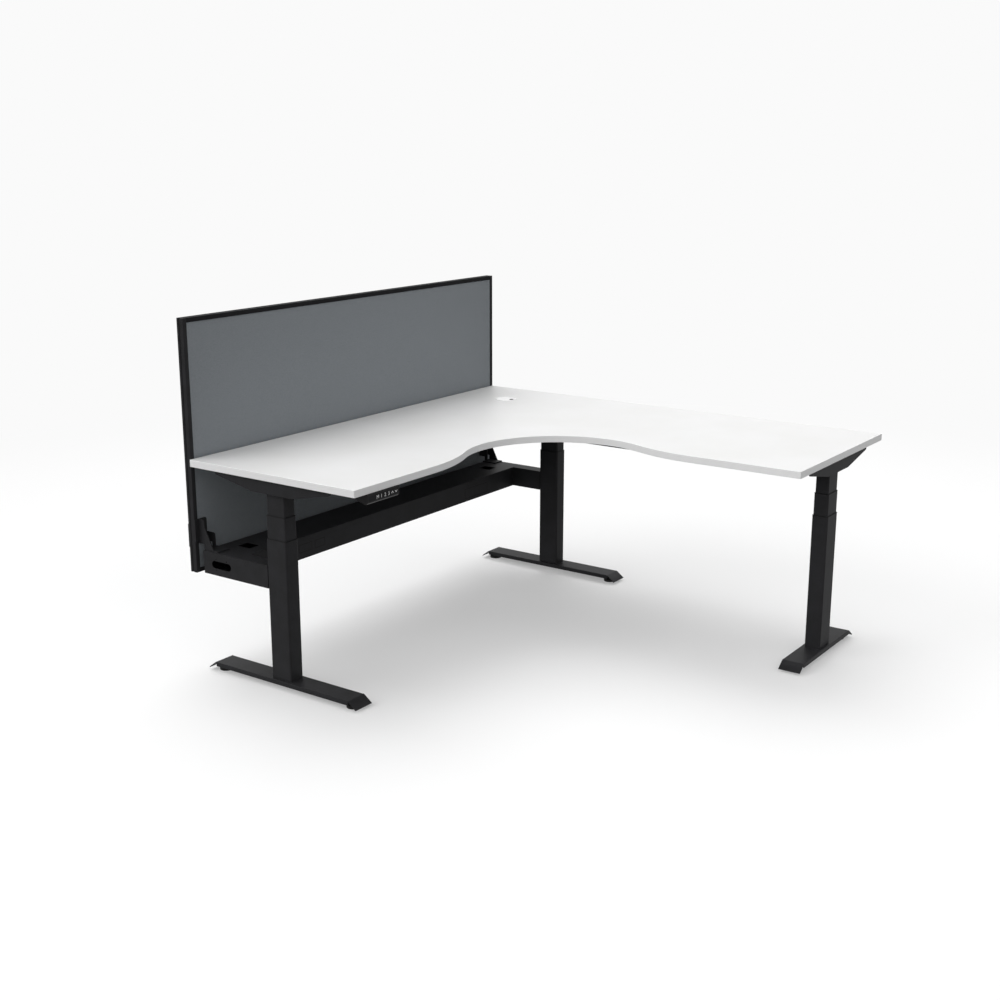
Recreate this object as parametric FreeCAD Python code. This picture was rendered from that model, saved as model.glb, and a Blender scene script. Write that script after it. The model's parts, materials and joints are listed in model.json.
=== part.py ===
import FreeCAD, Part
import math
import os

V = FreeCAD.Vector
os.makedirs("parts", exist_ok=True)

# Desk top: two wings that share the back corner, with an S-curved front edge
WING_LENGTH = 1800.0
WING_DEPTH = 750.0
TOP_THICK = 25.0
DESK_HEIGHT = 770.0
EDGE_BAND = 2.0
WAVE_INNER_R = 340.0
WAVE_OUTER_R = 600.0
WAVE_DIAGONAL = 1096.0

# Cable grommet in the back corner of the top
GROMMET_X = -235.0
GROMMET_Y = -240.0
GROMMET_HOLE = 80.0
GROMMET_FLANGE = 90.0
GROMMET_RISE = 2.0
CAP_THICK = 3.0
CAP_NOTCH_R = 9.0

# Leg positions
LEG_INSET = 53.0
CORNER_INSET = 77.0
RIGHT_SHIFT = 11.0

# Three-stage column, section length by width of each tube
OUTER_L = 90.0
OUTER_W = 60.0
STAGE_STEP = 5.0
TUBE_WALL = 2.0
TUBE_CORNER = 6.0
OUTER_TOP = 536.0
STAGE_SHOW = 82.0
MID_LENGTH = 480.0
INNER_LENGTH = 470.0
COLUMN_RISE = 13.0
BASE_PLATE = 8.0
NUT_TUBE_D = 26.0
NUT_D = 34.0
NUT_LENGTH = 30.0
NUT_INSET = 18.0
SPINDLE_D = 16.0
SPINDLE_LENGTH = 390.0
JOURNAL_D = 12.0
JOURNAL_REACH = 10.0
SPIGOT = 20.0
MOTOR_LENGTH = 100.0
GEAR_MARGIN = 8.0
GEAR_REACH = 10.0
GEAR_CORNER = 5.0

# Pressed-steel feet on levellers
FOOT_TOP = 36.0
FOOT_SHEET = 3.0
FOOT_BEND = 2.0
FOOT_WIDTH = 82.0
FOOT_FLAT = 623.0
SHORT_FLAT = 425.0
FLAP_RUN = 34.0
FLAP_DROP = 25.0
FOOT_WALL = 16.0
WALL_END = 2.0
LEVELLER_INSET = 11.0
PAD_D = 50.0
PAD_THICK = 13.0
PAD_EDGE = 1.5
STUD_D = 10.0
WELD_NUT = 15.0

# Wedge brackets under the top
BRACKET_LENGTH = 524.0
BRACKET_WIDTH = 84.0
BRACKET_DEPTH = 48.0
BRACKET_FLAT = 180.0
BRACKET_TIP = 13.0
BRACKET_SHEET = 3.0
SCREW_IN_X = 17.0
SCREW_IN_Y = 35.0
SCREW_BITE = 16.0

# Rails under the top
RAIL_W = 40.0
RAIL_H = 20.0
RAIL_WALL = 2.0
RAIL_SPREAD = 205.0

# Cable duct between the left and corner legs
DUCT_TOP = 441.0
DUCT_H = 82.0
DUCT_FRONT = 190.0
DUCT_BACK = 20.0
DUCT_SHEET = 2.0
SLOT_L = 94.0
SLOT_H = 27.0
SLOT_Y = -106.0
SLOT_DROP = 2.0
SLOT_HOLE_D = 4.0
SLOT_HOLE_DY = 26.0
SLOT_HOLE_DZ = 20.0
DECK_HOLE_X = 48.0
DECK_HOLE_Y = 58.0
DECK_HOLE_IN = 85.5
DECK_HOLE_LEFT = 105.0
DECK_HOLE_RIGHT = 108.0
PASS_W = 46.0
PASS_LOW = 12.0
PASS_HIGH = 10.0

# Pressed outlines of the outlets on the duct's front: inset, length, rise and height
OUTLET_FIRST = (272.0, 71.0, 24.0, 32.0)
OUTLET_SECOND = (358.0, 55.0, 24.0, 32.0)
OUTLET_LAST = (225.0, 161.0, 12.0, 44.0)
OUTLET_LINE = 1.6
OUTLET_GROOVE = 0.7

# Fabric screen along the back of the first wing
SCREEN_LENGTH = WING_LENGTH
SCREEN_HEIGHT = 900.0
SCREEN_THICK = 31.0
SCREEN_DROP = 2.0
SCREEN_GAP = 5.0
SCREEN_SHIFT = 10.0
FRAME_RIM = 16.0
FRAME_LIP = 3.0
FRAME_SLOT = 8.0
FRAME_GROOVE = 2.5
FABRIC = 1.5

# Screen brackets on the duct and the plates behind the screen
CLAMP_WIDTH = 55.0
CLAMP_SHEET = 3.0
CLAMP_FOOT = 5.0
CLAMP_HEIGHT = 110.0
CLAMP_REACH = 96.0
CLAMP_INSET = 5.0
CLAMP_RISE = 22.0
CLAMP_CORNER = 9.0
TALL_TOP = 32.0
TALL_DROP = 25.0
TALL_FOOT = 72.0
LOW_TOP = 57.0
LOW_DEEP = 44.0
LOW_AT = 37.0
EAR_RISE = 29.0
EAR_LAP = 12.0
CLAMP_BOLT_IN = 20.0
CLAMP_BOLT_LOW = 38.0
CLAMP_BOLT_HIGH = 76.0
BACK_PLATE = 6.0
BACK_PLATE_H = 84.0
BACK_PLATE_RISE = 6.0
BACK_PLATE_LAP = 16.0

# Handset under the front edge
HANDSET_INSET = 139.0
HANDSET_L = 160.0
HANDSET_H = 35.0
HANDSET_DEPTH = 70.0
HANDSET_PROUD = 3.0
BUTTON = 15.0
BUTTON_PITCH = 18.6
BUTTON_FIRST = -29.0
BUTTON_DROP = 17.0
BUTTON_PROUD = 0.6
BUTTON_DEPTH = 4.1

# Control box
BOX_L = 260.0
BOX_W = 110.0
BOX_H = 38.0
PORTS = 5
PORT_PITCH = 42.0
PORT_W = 20.0
PORT_H = 12.0
PORT_DEPTH = 9.0

# Fits and fasteners
RUN = 0.3
FOOT_BOLT_D = 8.0
FRAME_BOLT_D = 6.0
WOOD_SCREW_D = 4.6

UNDER = DESK_HEIGHT - TOP_THICK
MID_L = OUTER_L - STAGE_STEP
MID_W = OUTER_W - STAGE_STEP
INNER_L = OUTER_L - 2 * STAGE_STEP
INNER_W = OUTER_W - 2 * STAGE_STEP
MID_TOP = OUTER_TOP + STAGE_SHOW
MID_BOTTOM = MID_TOP - MID_LENGTH
COLUMN_TOP = UNDER - BRACKET_DEPTH + COLUMN_RISE
INNER_BOTTOM = COLUMN_TOP - INNER_LENGTH
SCREEN_FRONT = SCREEN_GAP
SCREEN_BACK = SCREEN_GAP + SCREEN_THICK
SCREEN_RIGHT = SCREEN_SHIFT
SCREEN_LEFT = SCREEN_SHIFT - SCREEN_LENGTH
DUCT_BOTTOM = DUCT_TOP - DUCT_H
SCREEN_BOTTOM = DUCT_BOTTOM - SCREEN_DROP
SCREEN_TOP = SCREEN_BOTTOM + SCREEN_HEIGHT
FABRIC_FRONT = SCREEN_FRONT + FRAME_LIP
FABRIC_BACK = SCREEN_BACK - FRAME_LIP
BACKMOST = SCREEN_BACK + BACK_PLATE
LEFT_X = LEG_INSET - WING_LENGTH
CORNER_X = -CORNER_INSET
LEG_Y = -WING_DEPTH / 2
RIGHT_X = LEG_Y - RIGHT_SHIFT
RIGHT_Y = LEG_INSET - WING_LENGTH
HANDSET_X = HANDSET_INSET - WING_LENGTH
HANDSET_FRONT = -WING_DEPTH - HANDSET_PROUD

# The back corner of the top, seen from the middle of the whole outline
CENTRE_X = (WING_LENGTH - SCREEN_SHIFT) / 2
CENTRE_Y = (WING_LENGTH - BACKMOST) / 2

LEGS = {
    "left": (LEFT_X, LEG_Y, 0.0, FOOT_FLAT),
    "corner": (CORNER_X, LEG_Y, 0.0, FOOT_FLAT),
    "right": (RIGHT_X, RIGHT_Y, -90.0, SHORT_FLAT),
}


def box(x0, x1, y0, y1, z0, z1):
    """Block between two corners."""
    return Part.makeBox(x1 - x0, y1 - y0, z1 - z0, V(x0, y0, z0))


def rod(d, x, y, z0, z1):
    """Upright cylinder."""
    return Part.makeCylinder(d / 2, z1 - z0, V(x, y, z0))


def rod_y(d, x, z, y0, y1):
    """Cylinder along Y."""
    return Part.makeCylinder(d / 2, y1 - y0, V(x, y0, z), V(0, 1, 0))


def rounded(w, l, r, z0, z1):
    """Upright block on the Z axis with round upright edges."""
    solid = box(-w / 2, w / 2, -l / 2, l / 2, z0, z1)
    edges = [e for e in solid.Edges if abs(e.tangentAt(e.FirstParameter).z) > 0.99]
    return solid.makeFillet(r, edges)


def tube(w, l, r, wall, z0, z1):
    """Upright rectangular tube with round corners."""
    bore = rounded(w - 2 * wall, l - 2 * wall, max(r - wall, 0.5), z0 - 1, z1 + 1)
    return rounded(w, l, r, z0, z1).cut(bore)


def extrude_yz(points, x0, x1):
    """Solid from an outline of (y, z) points, between two X planes."""
    wire = Part.makePolygon([V(x0, y, z) for y, z in points + points[:1]])
    return Part.Face(wire).extrude(V(x1 - x0, 0, 0))


def join(first, others):
    """One solid from touching solids."""
    return first.fuse(others).removeSplitter()


def place(shape, leg):
    """Set a leg piece, made on the Z axis, at its leg."""
    x, y, turn, _ = LEGS[leg]
    shape = shape.copy()
    shape.rotate(V(0, 0, 0), V(0, 0, 1), turn)
    shape.translate(V(x, y, 0))
    return shape


def save(name, shape):
    """Export one node with the frame's origin at the middle of the floor."""
    shape = shape.copy()
    shape.translate(V(CENTRE_X, CENTRE_Y, 0))
    shape.exportStep("parts/%s.step" % name)


# The top

def outline(inset):
    """Outline of the top, moved inwards by inset."""
    c = (WAVE_DIAGONAL + WAVE_INNER_R) / math.sqrt(2)
    drop = WING_DEPTH - (c - WAVE_INNER_R)
    turn = math.acos(1 - drop / (WAVE_INNER_R + WAVE_OUTER_R))
    start = -c - (WAVE_INNER_R + WAVE_OUTER_R) * math.sin(turn)
    r_in = WAVE_INNER_R + inset
    r_out = WAVE_OUTER_R - inset
    far = -WING_LENGTH + inset
    deep = -WING_DEPTH + inset

    def outer_arc(a):
        return start + r_out * math.sin(a), -WING_DEPTH + WAVE_OUTER_R - r_out * math.cos(a)

    def inner_arc(a):
        return -c + r_in * math.sin(a), -c + r_in * math.cos(a)

    first = [outer_arc(0), outer_arc(turn / 2), outer_arc(turn)]
    inner = [inner_arc(-turn), inner_arc(math.pi / 4), inner_arc(math.pi / 2 + turn)]
    last = [(y, x) for x, y in reversed(first)]
    straight = [(deep, far), (-inset, far), (-inset, -inset), (far, -inset), (far, deep)]

    def points(pairs):
        return [V(x, y, 0) for x, y in pairs]

    edges = []
    for arc in (first, inner, last):
        edges.append(Part.Arc(*points(arc)).toShape())
    chain = points([last[-1]] + straight + [first[0]])
    for a, b in zip(chain, chain[1:]):
        edges.append(Part.LineSegment(a, b).toShape())
    return Part.Face(Part.Wire(Part.__sortEdges__(edges)))


def slab(inset):
    """Board of the outline at the height of the top."""
    face = outline(inset)
    face.translate(V(0, 0, UNDER))
    return face.extrude(V(0, 0, TOP_THICK))


def screw_spots():
    """Places of the wood screws in one bracket."""
    x = BRACKET_WIDTH / 2 - SCREW_IN_X
    y = BRACKET_LENGTH / 2 - SCREW_IN_Y
    return [(sx * x, sy * y) for sx in (-1, 1) for sy in (-1, 1)]


def wood_screws(clearance, depth):
    """Shanks of one bracket's screws, with room around them."""
    shanks = []
    for x, y in screw_spots():
        shanks.append(rod(WOOD_SCREW_D + 2 * clearance, x, y, UNDER - BRACKET_SHEET, UNDER + depth))
    return shanks


core = slab(EDGE_BAND)
holes = [rod(GROMMET_HOLE, GROMMET_X, GROMMET_Y, UNDER - 1, DESK_HEIGHT + 1)]
for leg in LEGS:
    for shank in wood_screws(RUN, SCREW_BITE + RUN):
        holes.append(place(shank, leg))
save("edge_band", slab(0).cut(core))
save("desk_top", core.cut(holes))

# The grommet: a flanged sleeve with a ledge, and a cap that turns in it

sleeve_d = GROMMET_HOLE - 2 * RUN
bore_d = sleeve_d - 6
ledge_top = DESK_HEIGHT + GROMMET_RISE - CAP_THICK - 2 * RUN
ledge_low = ledge_top - 3
flange = rod(GROMMET_FLANGE, 0, 0, DESK_HEIGHT, DESK_HEIGHT + GROMMET_RISE)
rim = [e for e in flange.Edges if e.BoundBox.ZMin > DESK_HEIGHT + GROMMET_RISE - 0.01]
flange = flange.makeFillet(GROMMET_RISE * 0.6, [e for e in rim if e.Closed])
sleeve = join(flange, [rod(sleeve_d, 0, 0, UNDER + 2, DESK_HEIGHT)])
sleeve = sleeve.cut([
    rod(bore_d, 0, 0, ledge_top, DESK_HEIGHT + 9),
    rod(bore_d - 8, 0, 0, ledge_low - 1, ledge_top + 1),
    rod(bore_d, 0, 0, UNDER, ledge_low),
])
cap_d = bore_d - 2 * RUN
cap = rod(cap_d, 0, 0, ledge_top + RUN, ledge_top + RUN + CAP_THICK)
cap = cap.cut(rod(2 * CAP_NOTCH_R, 0, 5.5 - cap_d / 2, ledge_top, DESK_HEIGHT + 9))
for name, piece in (("grommet_sleeve", sleeve), ("grommet_cap", cap)):
    piece.translate(V(GROMMET_X, GROMMET_Y, 0))
    save(name, piece)

# The feet and their levellers

BOLT_SPOTS = [(sx * OUTER_W / 4, sy * OUTER_L / 3) for sx in (-1, 1) for sy in (-1, 1)]


def foot(flat):
    """Channel with walls folded down and both ends bent to flaps."""
    half = flat / 2
    t = FOOT_SHEET
    slant = math.hypot(FLAP_RUN, FLAP_DROP)
    bend = t * math.tan(math.atan2(FLAP_DROP, FLAP_RUN) / 2)
    wall_y = half - WALL_END
    w = FOOT_WIDTH / 2
    pieces = []
    for s in (-1, 1):
        profile = [
            (wall_y, FOOT_TOP), (half, FOOT_TOP), (half + FLAP_RUN, FOOT_TOP - FLAP_DROP),
            (half + FLAP_RUN - t * FLAP_DROP / slant, FOOT_TOP - FLAP_DROP - t * FLAP_RUN / slant),
            (half - bend, FOOT_TOP - t), (wall_y, FOOT_TOP - t),
        ]
        pieces.append(extrude_yz([(s * y, z) for y, z in profile], -w, w))
        nut_y = s * (half - LEVELLER_INSET)
        pieces.append(rod(2 * STUD_D, 0, nut_y, FOOT_TOP - t - WELD_NUT, FOOT_TOP - t))
    channel = box(-w, w, -wall_y, wall_y, FOOT_TOP - FOOT_WALL, FOOT_TOP)
    ridges = [e for e in channel.Edges if e.BoundBox.YLength > wall_y and e.BoundBox.ZMin > FOOT_TOP - 1]
    channel = channel.makeFillet(FOOT_BEND, ridges)
    channel = channel.cut(box(t - w, w - t, -wall_y - 1, wall_y + 1, 0, FOOT_TOP - t))
    solid = join(channel, pieces)
    cuts = []
    for s in (-1, 1):
        cuts.append(rod(STUD_D + 2 * RUN, 0, s * (half - LEVELLER_INSET), 0, FOOT_TOP - t))
    for x, y in BOLT_SPOTS:
        cuts.append(rod(FOOT_BOLT_D + 2 * RUN, x, y, 0, FOOT_TOP + 1))
    return solid.cut(cuts)


def leveller(y):
    """Round pad with a hub and a threaded stud."""
    pad = rod(PAD_D, 0, y, 0, PAD_THICK)
    pad = pad.makeChamfer(PAD_EDGE, [e for e in pad.Edges if e.Closed])
    hub = rod(2 * STUD_D, 0, y, PAD_THICK, FOOT_TOP - FOOT_SHEET - WELD_NUT - RUN)
    stud = rod(STUD_D, 0, y, PAD_THICK, FOOT_TOP - FOOT_SHEET - RUN)
    return join(pad, [hub, stud])


def foot_bolts():
    """Four button-head bolts from under the foot into the column."""
    bolts = []
    low = FOOT_TOP - FOOT_SHEET
    for x, y in BOLT_SPOTS:
        head = rod(1.75 * FOOT_BOLT_D, x, y, low - 4.5, low)
        head = head.makeChamfer(1.2, [e for e in head.Edges if e.Closed and e.BoundBox.ZMax < low - 1])
        bolts.append(join(head, [rod(FOOT_BOLT_D, x, y, low, FOOT_TOP + BASE_PLATE - 1)]))
    return bolts


# The columns

def arm_spots():
    """Heights of the bolts that hold an arm to its column."""
    return [DUCT_BOTTOM + DUCT_H * k for k in (0.25, 0.75)]


def outer_column(arm):
    """Bottom tube with its welded base plate."""
    shell = tube(OUTER_W, OUTER_L, TUBE_CORNER, TUBE_WALL, FOOT_TOP, OUTER_TOP)
    plate_top = FOOT_TOP + BASE_PLATE
    plate = rounded(OUTER_W - TUBE_WALL, OUTER_L - TUBE_WALL, TUBE_CORNER - 1, FOOT_TOP, plate_top)
    solid = join(shell, [plate])
    cuts = []
    for x, y in BOLT_SPOTS:
        cuts.append(rod(FOOT_BOLT_D + 2 * RUN, x, y, FOOT_TOP - 1, plate_top + 1))
    if arm:
        for z in arm_spots():
            back = OUTER_L / 2
            cuts.append(rod_y(FRAME_BOLT_D + 2 * RUN, 0, z, back - TUBE_WALL - 1, back + 1))
    return solid.cut(cuts)


def mid_column():
    """Middle tube with its bottom plate and the nut tube standing on it."""
    shell = tube(MID_W, MID_L, TUBE_CORNER - 1, TUBE_WALL, MID_BOTTOM, MID_TOP)
    plate_top = MID_BOTTOM + BASE_PLATE
    plate = rounded(MID_W - TUBE_WALL, MID_L - TUBE_WALL, TUBE_CORNER - 2, MID_BOTTOM, plate_top)
    nut_top = MID_TOP - NUT_INSET
    post = rod(NUT_TUBE_D, 0, 0, MID_BOTTOM, nut_top)
    nut = rod(NUT_D, 0, 0, nut_top - NUT_LENGTH, nut_top)
    solid = join(shell, [plate, post, nut])
    return solid.cut(rod(SPINDLE_D + 2 * RUN, 0, 0, MID_BOTTOM - 1, nut_top + 1))


def inner_column():
    """Top tube, open at both ends."""
    return tube(INNER_W, INNER_L, TUBE_CORNER - 2, TUBE_WALL, INNER_BOTTOM, COLUMN_TOP)


def spindle():
    """Drive screw with its journal in the gear housing."""
    top = COLUMN_TOP - SPIGOT - RUN
    journal = rod(JOURNAL_D, 0, 0, top, top + SPIGOT + JOURNAL_REACH)
    return join(rod(SPINDLE_D, 0, 0, top - SPINDLE_LENGTH, top), [journal])


def motor():
    """Gear housing on the column with the motor lying in the bracket."""
    top = UNDER - BRACKET_SHEET
    wide = BRACKET_WIDTH / 2 - BRACKET_SHEET - GEAR_MARGIN
    gear = box(-wide, wide, -INNER_L / 2, INNER_L / 2 + GEAR_REACH, COLUMN_TOP, top)
    gear = gear.makeFillet(GEAR_CORNER, [e for e in gear.Edges if e.BoundBox.ZLength > 10])
    drum_d = min(top - COLUMN_TOP, 2 * wide)
    drum = rod_y(drum_d, 0, top - drum_d / 2, INNER_L / 2, INNER_L / 2 + MOTOR_LENGTH)
    inside = 2 * (TUBE_WALL + RUN)
    spigot = rounded(INNER_W - inside, INNER_L - inside, 3, COLUMN_TOP - SPIGOT, COLUMN_TOP)
    solid = join(gear, [drum, spigot])
    return solid.cut(rod(JOURNAL_D + 2 * RUN, 0, 0, COLUMN_TOP - SPIGOT - 1, COLUMN_TOP + JOURNAL_REACH + 2))


def bracket():
    """Folded wedge channel that carries the top on one column."""
    w = BRACKET_WIDTH / 2
    h = BRACKET_LENGTH / 2
    t = BRACKET_SHEET
    f = BRACKET_FLAT / 2
    low = UNDER - BRACKET_DEPTH
    tip = UNDER - BRACKET_TIP
    r = BRACKET_TIP * 0.35
    side = [
        (h, UNDER), (h, tip + r), (h - 0.3 * r, tip + 0.3 * r), (h - r, tip - 0.2 * r), (f, low),
        (-f, low), (r - h, tip - 0.2 * r), (0.3 * r - h, tip + 0.3 * r), (-h, tip + r), (-h, UNDER),
    ]
    solid = join(box(-w, w, -h, h, UNDER - t, UNDER), [
        extrude_yz(side, -w, t - w),
        extrude_yz(side, w - t, w),
        box(-w, w, -f, f, low, low + t),
    ])
    pocket = rounded(INNER_W + 2 * RUN, INNER_L + 2 * RUN, TUBE_CORNER - 2, low - 1, low + t + 1)
    return solid.cut([pocket] + wood_screws(RUN, 5))


def top_screws():
    """Pan-head wood screws of one bracket."""
    low = UNDER - BRACKET_SHEET
    screws = []
    for (x, y), shank in zip(screw_spots(), wood_screws(0, SCREW_BITE)):
        head = rod(2 * WOOD_SCREW_D, x, y, low - 3, low)
        head = head.makeChamfer(1, [e for e in head.Edges if e.Closed and e.BoundBox.ZMax < low - 1])
        screws.append(join(head, [shank]))
    return screws


bolts = {}
screws = []
for leg, (_, _, _, flat) in LEGS.items():
    save("%s_foot" % leg, place(foot(flat), leg))
    for end, s in (("front", -1), ("back", 1)):
        save("%s_%s_leveller" % (leg, end), place(leveller(s * (flat / 2 - LEVELLER_INSET)), leg))
    save("%s_outer_column" % leg, place(outer_column(leg != "right"), leg))
    save("%s_mid_column" % leg, place(mid_column(), leg))
    save("%s_inner_column" % leg, place(inner_column(), leg))
    save("%s_spindle" % leg, place(spindle(), leg))
    save("%s_motor" % leg, place(motor(), leg))
    save("%s_bracket" % leg, place(bracket(), leg))
    bolts[leg] = [place(b, leg) for b in foot_bolts()]
    screws.extend(place(s, leg) for s in top_screws())
save("base_foot_bolts", Part.makeCompound(bolts["left"] + bolts["corner"]))
save("right_foot_bolts", Part.makeCompound(bolts["right"]))
save("top_screws", Part.makeCompound(screws))

# Rails that brace the brackets under the top

def rail_x(y, x0, x1):
    """Closed rail along X under the top."""
    t = RAIL_WALL
    a = RAIL_W / 2
    shell = box(x0, x1, y - a, y + a, UNDER - RAIL_H, UNDER)
    return shell.cut(box(x0 - 1, x1 + 1, y - a + t, y + a - t, UNDER - RAIL_H + t, UNDER - t))


half_bracket = BRACKET_WIDTH / 2
rail_ys = [LEG_Y - RAIL_SPREAD, LEG_Y + RAIL_SPREAD]
first_rails = [rail_x(y, LEFT_X + half_bracket, CORNER_X - half_bracket) for y in rail_ys]
second_rails = []
for x in (RIGHT_X - RAIL_SPREAD, RIGHT_X + RAIL_SPREAD):
    rail = rail_x(0, RAIL_W / 2 - rail_ys[0], -RIGHT_Y - half_bracket)
    rail.rotate(V(0, 0, 0), V(0, 0, 1), -90)
    rail.translate(V(x, 0, 0))
    second_rails.append(rail)
save("first_wing_rails", Part.makeCompound(first_rails))
save("second_wing_rails", Part.makeCompound(second_rails))

# Control box between the rails

box_x = (LEFT_X + CORNER_X) / 2
control = box(-BOX_L / 2, BOX_L / 2, -BOX_W / 2, BOX_W / 2, UNDER - BOX_H, UNDER)
control.translate(V(box_x, LEG_Y, 0))
control = control.makeFillet(6, [e for e in control.Edges if e.BoundBox.ZLength > BOX_H / 2])
control = control.makeFillet(2, [e for e in control.Edges if e.BoundBox.ZMax < UNDER - BOX_H + 0.1])
ports = []
for k in range(PORTS):
    x = box_x + PORT_PITCH * (k - (PORTS - 1) / 2)
    z = UNDER - BOX_H / 2
    face = LEG_Y - BOX_W / 2
    port = box(-PORT_W / 2, PORT_W / 2, -1, PORT_DEPTH, -PORT_H / 2, PORT_H / 2)
    port.translate(V(x, face, z))
    ports.append(port)
save("control_box", control.cut(ports))

# Handset with a row of six keys

KEYS = ["memory_key", "first_key", "second_key", "third_key", "up_key", "down_key"]
key_z = UNDER - BUTTON_DROP
y0 = HANDSET_FRONT
case = extrude_yz([
    (y0, UNDER - 2), (y0 + 2, UNDER), (y0 + HANDSET_DEPTH, UNDER), (y0 + HANDSET_DEPTH, UNDER - 18),
    (y0 + 11, UNDER - HANDSET_H), (y0 + 5, UNDER - HANDSET_H + 0.6), (y0 + 1.6, UNDER - HANDSET_H + 3.5),
    (y0, UNDER - HANDSET_H + 8),
], HANDSET_X - HANDSET_L / 2, HANDSET_X + HANDSET_L / 2)
pockets = []
for k, name in enumerate(KEYS):
    x = HANDSET_X + BUTTON_FIRST + BUTTON_PITCH * k
    room = BUTTON / 2 + RUN
    pockets.append(box(x - room, x + room, y0 - 1, y0 + 5, key_z - room, key_z + room))
    b = BUTTON / 2
    key = box(x - b, x + b, y0 - BUTTON_PROUD, y0 - BUTTON_PROUD + BUTTON_DEPTH, key_z - b, key_z + b)
    key = key.makeFillet(1.5, [e for e in key.Edges if e.BoundBox.YLength > BUTTON_DEPTH / 2])
    save(name, key)
save("handset_case", case.cut(pockets))

# Cable duct: trough, deck and the two arms that reach the columns

t = DUCT_SHEET
leg_back = LEG_Y + OUTER_L / 2
arm_w = OUTER_W / 2
duct_x0 = LEFT_X - arm_w + t
duct_x1 = CORNER_X + arm_w - t
wall_top = DUCT_TOP - t
trough = box(duct_x0, duct_x1, -DUCT_FRONT, -DUCT_BACK, DUCT_BOTTOM, wall_top)
hollow = box(duct_x0 - 1, duct_x1 + 1, t - DUCT_FRONT, -DUCT_BACK - t, DUCT_BOTTOM + t, wall_top + 1)
trough = trough.cut(hollow)
cuts = []
for x in (LEFT_X, CORNER_X):
    half = PASS_W / 2
    z0 = DUCT_BOTTOM + PASS_LOW
    z1 = wall_top - PASS_HIGH
    cuts.append(box(x - half, x + half, -DUCT_FRONT - 1, t - DUCT_FRONT + 1, z0, z1))
for end, s, (inset, length, rise, height) in ((LEFT_X, 1, OUTLET_FIRST), (LEFT_X, 1, OUTLET_SECOND),
                                              (CORNER_X, -1, OUTLET_LAST)):
    x0, x1 = sorted((end + s * inset, end + s * (inset + length)))
    z0 = DUCT_BOTTOM + rise
    z1 = z0 + height
    g = OUTLET_LINE
    ring = box(x0, x1, -DUCT_FRONT - 1, OUTLET_GROOVE - DUCT_FRONT, z0, z1)
    cuts.append(ring.cut(box(x0 + g, x1 - g, -DUCT_FRONT - 2, t - DUCT_FRONT, z0 + g, z1 - g)))
save("duct_trough", trough.cut(cuts))

deck = box(duct_x0, duct_x1, -DUCT_FRONT, -DUCT_BACK, wall_top, DUCT_TOP)
hole_y = DECK_HOLE_IN - DUCT_FRONT
deck_holes = []
for x in (LEFT_X + DECK_HOLE_LEFT, CORNER_X - DECK_HOLE_RIGHT):
    deck_holes.append(box(x - DECK_HOLE_X / 2, x + DECK_HOLE_X / 2, hole_y - DECK_HOLE_Y / 2,
                          hole_y + DECK_HOLE_Y / 2, wall_top - 1, DUCT_TOP + 1))
save("duct_deck", deck.cut(deck_holes))

slot_z = (DUCT_TOP + DUCT_BOTTOM) / 2 - SLOT_DROP


def arm(x, outward):
    """Folded box arm with the long side plate that closes the duct."""
    a = x - arm_w
    b = x + arm_w
    solid = box(a, b, leg_back, -DUCT_FRONT, DUCT_BOTTOM, DUCT_TOP)
    solid = solid.cut(box(a + t, b - t, leg_back + CLAMP_SHEET, 1 - DUCT_FRONT, DUCT_BOTTOM + t, wall_top))
    side = (a, a + t) if outward < 0 else (b - t, b)
    solid = join(solid, [box(side[0], side[1], -DUCT_FRONT, -DUCT_BACK, DUCT_BOTTOM, DUCT_TOP)])
    cuts = []
    for z in arm_spots():
        cuts.append(rod_y(FRAME_BOLT_D + 2 * RUN, x, z, leg_back - 1, leg_back + CLAMP_SHEET + 1))
    if outward < 0:
        r = SLOT_H / 2
        flat = SLOT_L / 2 - r
        x0 = a - 1
        cuts.append(box(x0, a + t + 1, SLOT_Y - flat, SLOT_Y + flat, slot_z - r, slot_z + r))
        for s in (-1, 1):
            cuts.append(Part.makeCylinder(r, t + 2, V(x0, SLOT_Y + s * flat, slot_z), V(1, 0, 0)))
            for u in (-1, 1):
                spot = V(x0, SLOT_Y + s * SLOT_HOLE_DY, slot_z + u * SLOT_HOLE_DZ)
                cuts.append(Part.makeCylinder(SLOT_HOLE_D / 2, t + 2, spot, V(1, 0, 0)))
    return solid.cut(cuts)


save("left_arm", arm(LEFT_X, -1))
save("right_arm", arm(CORNER_X, 1))

arm_bolts = []
for x in (LEFT_X, CORNER_X):
    for z in arm_spots():
        y = leg_back + CLAMP_SHEET
        head = rod_y(1.75 * FRAME_BOLT_D, x, z, y, y + 3.5)
        head = head.makeChamfer(1, [e for e in head.Edges if e.Closed and e.BoundBox.YMin > y + 1])
        arm_bolts.append(join(head, [rod_y(FRAME_BOLT_D, x, z, leg_back - TUBE_WALL, y)]))
save("arm_bolts", Part.makeCompound(arm_bolts))

# Screen: four slotted profiles round a board with fabric on both faces

slot_room = 0.1
groove = [(SCREEN_FRONT + SCREEN_THICK * 0.5, SCREEN_FRONT + SCREEN_THICK * 0.7)]


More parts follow.
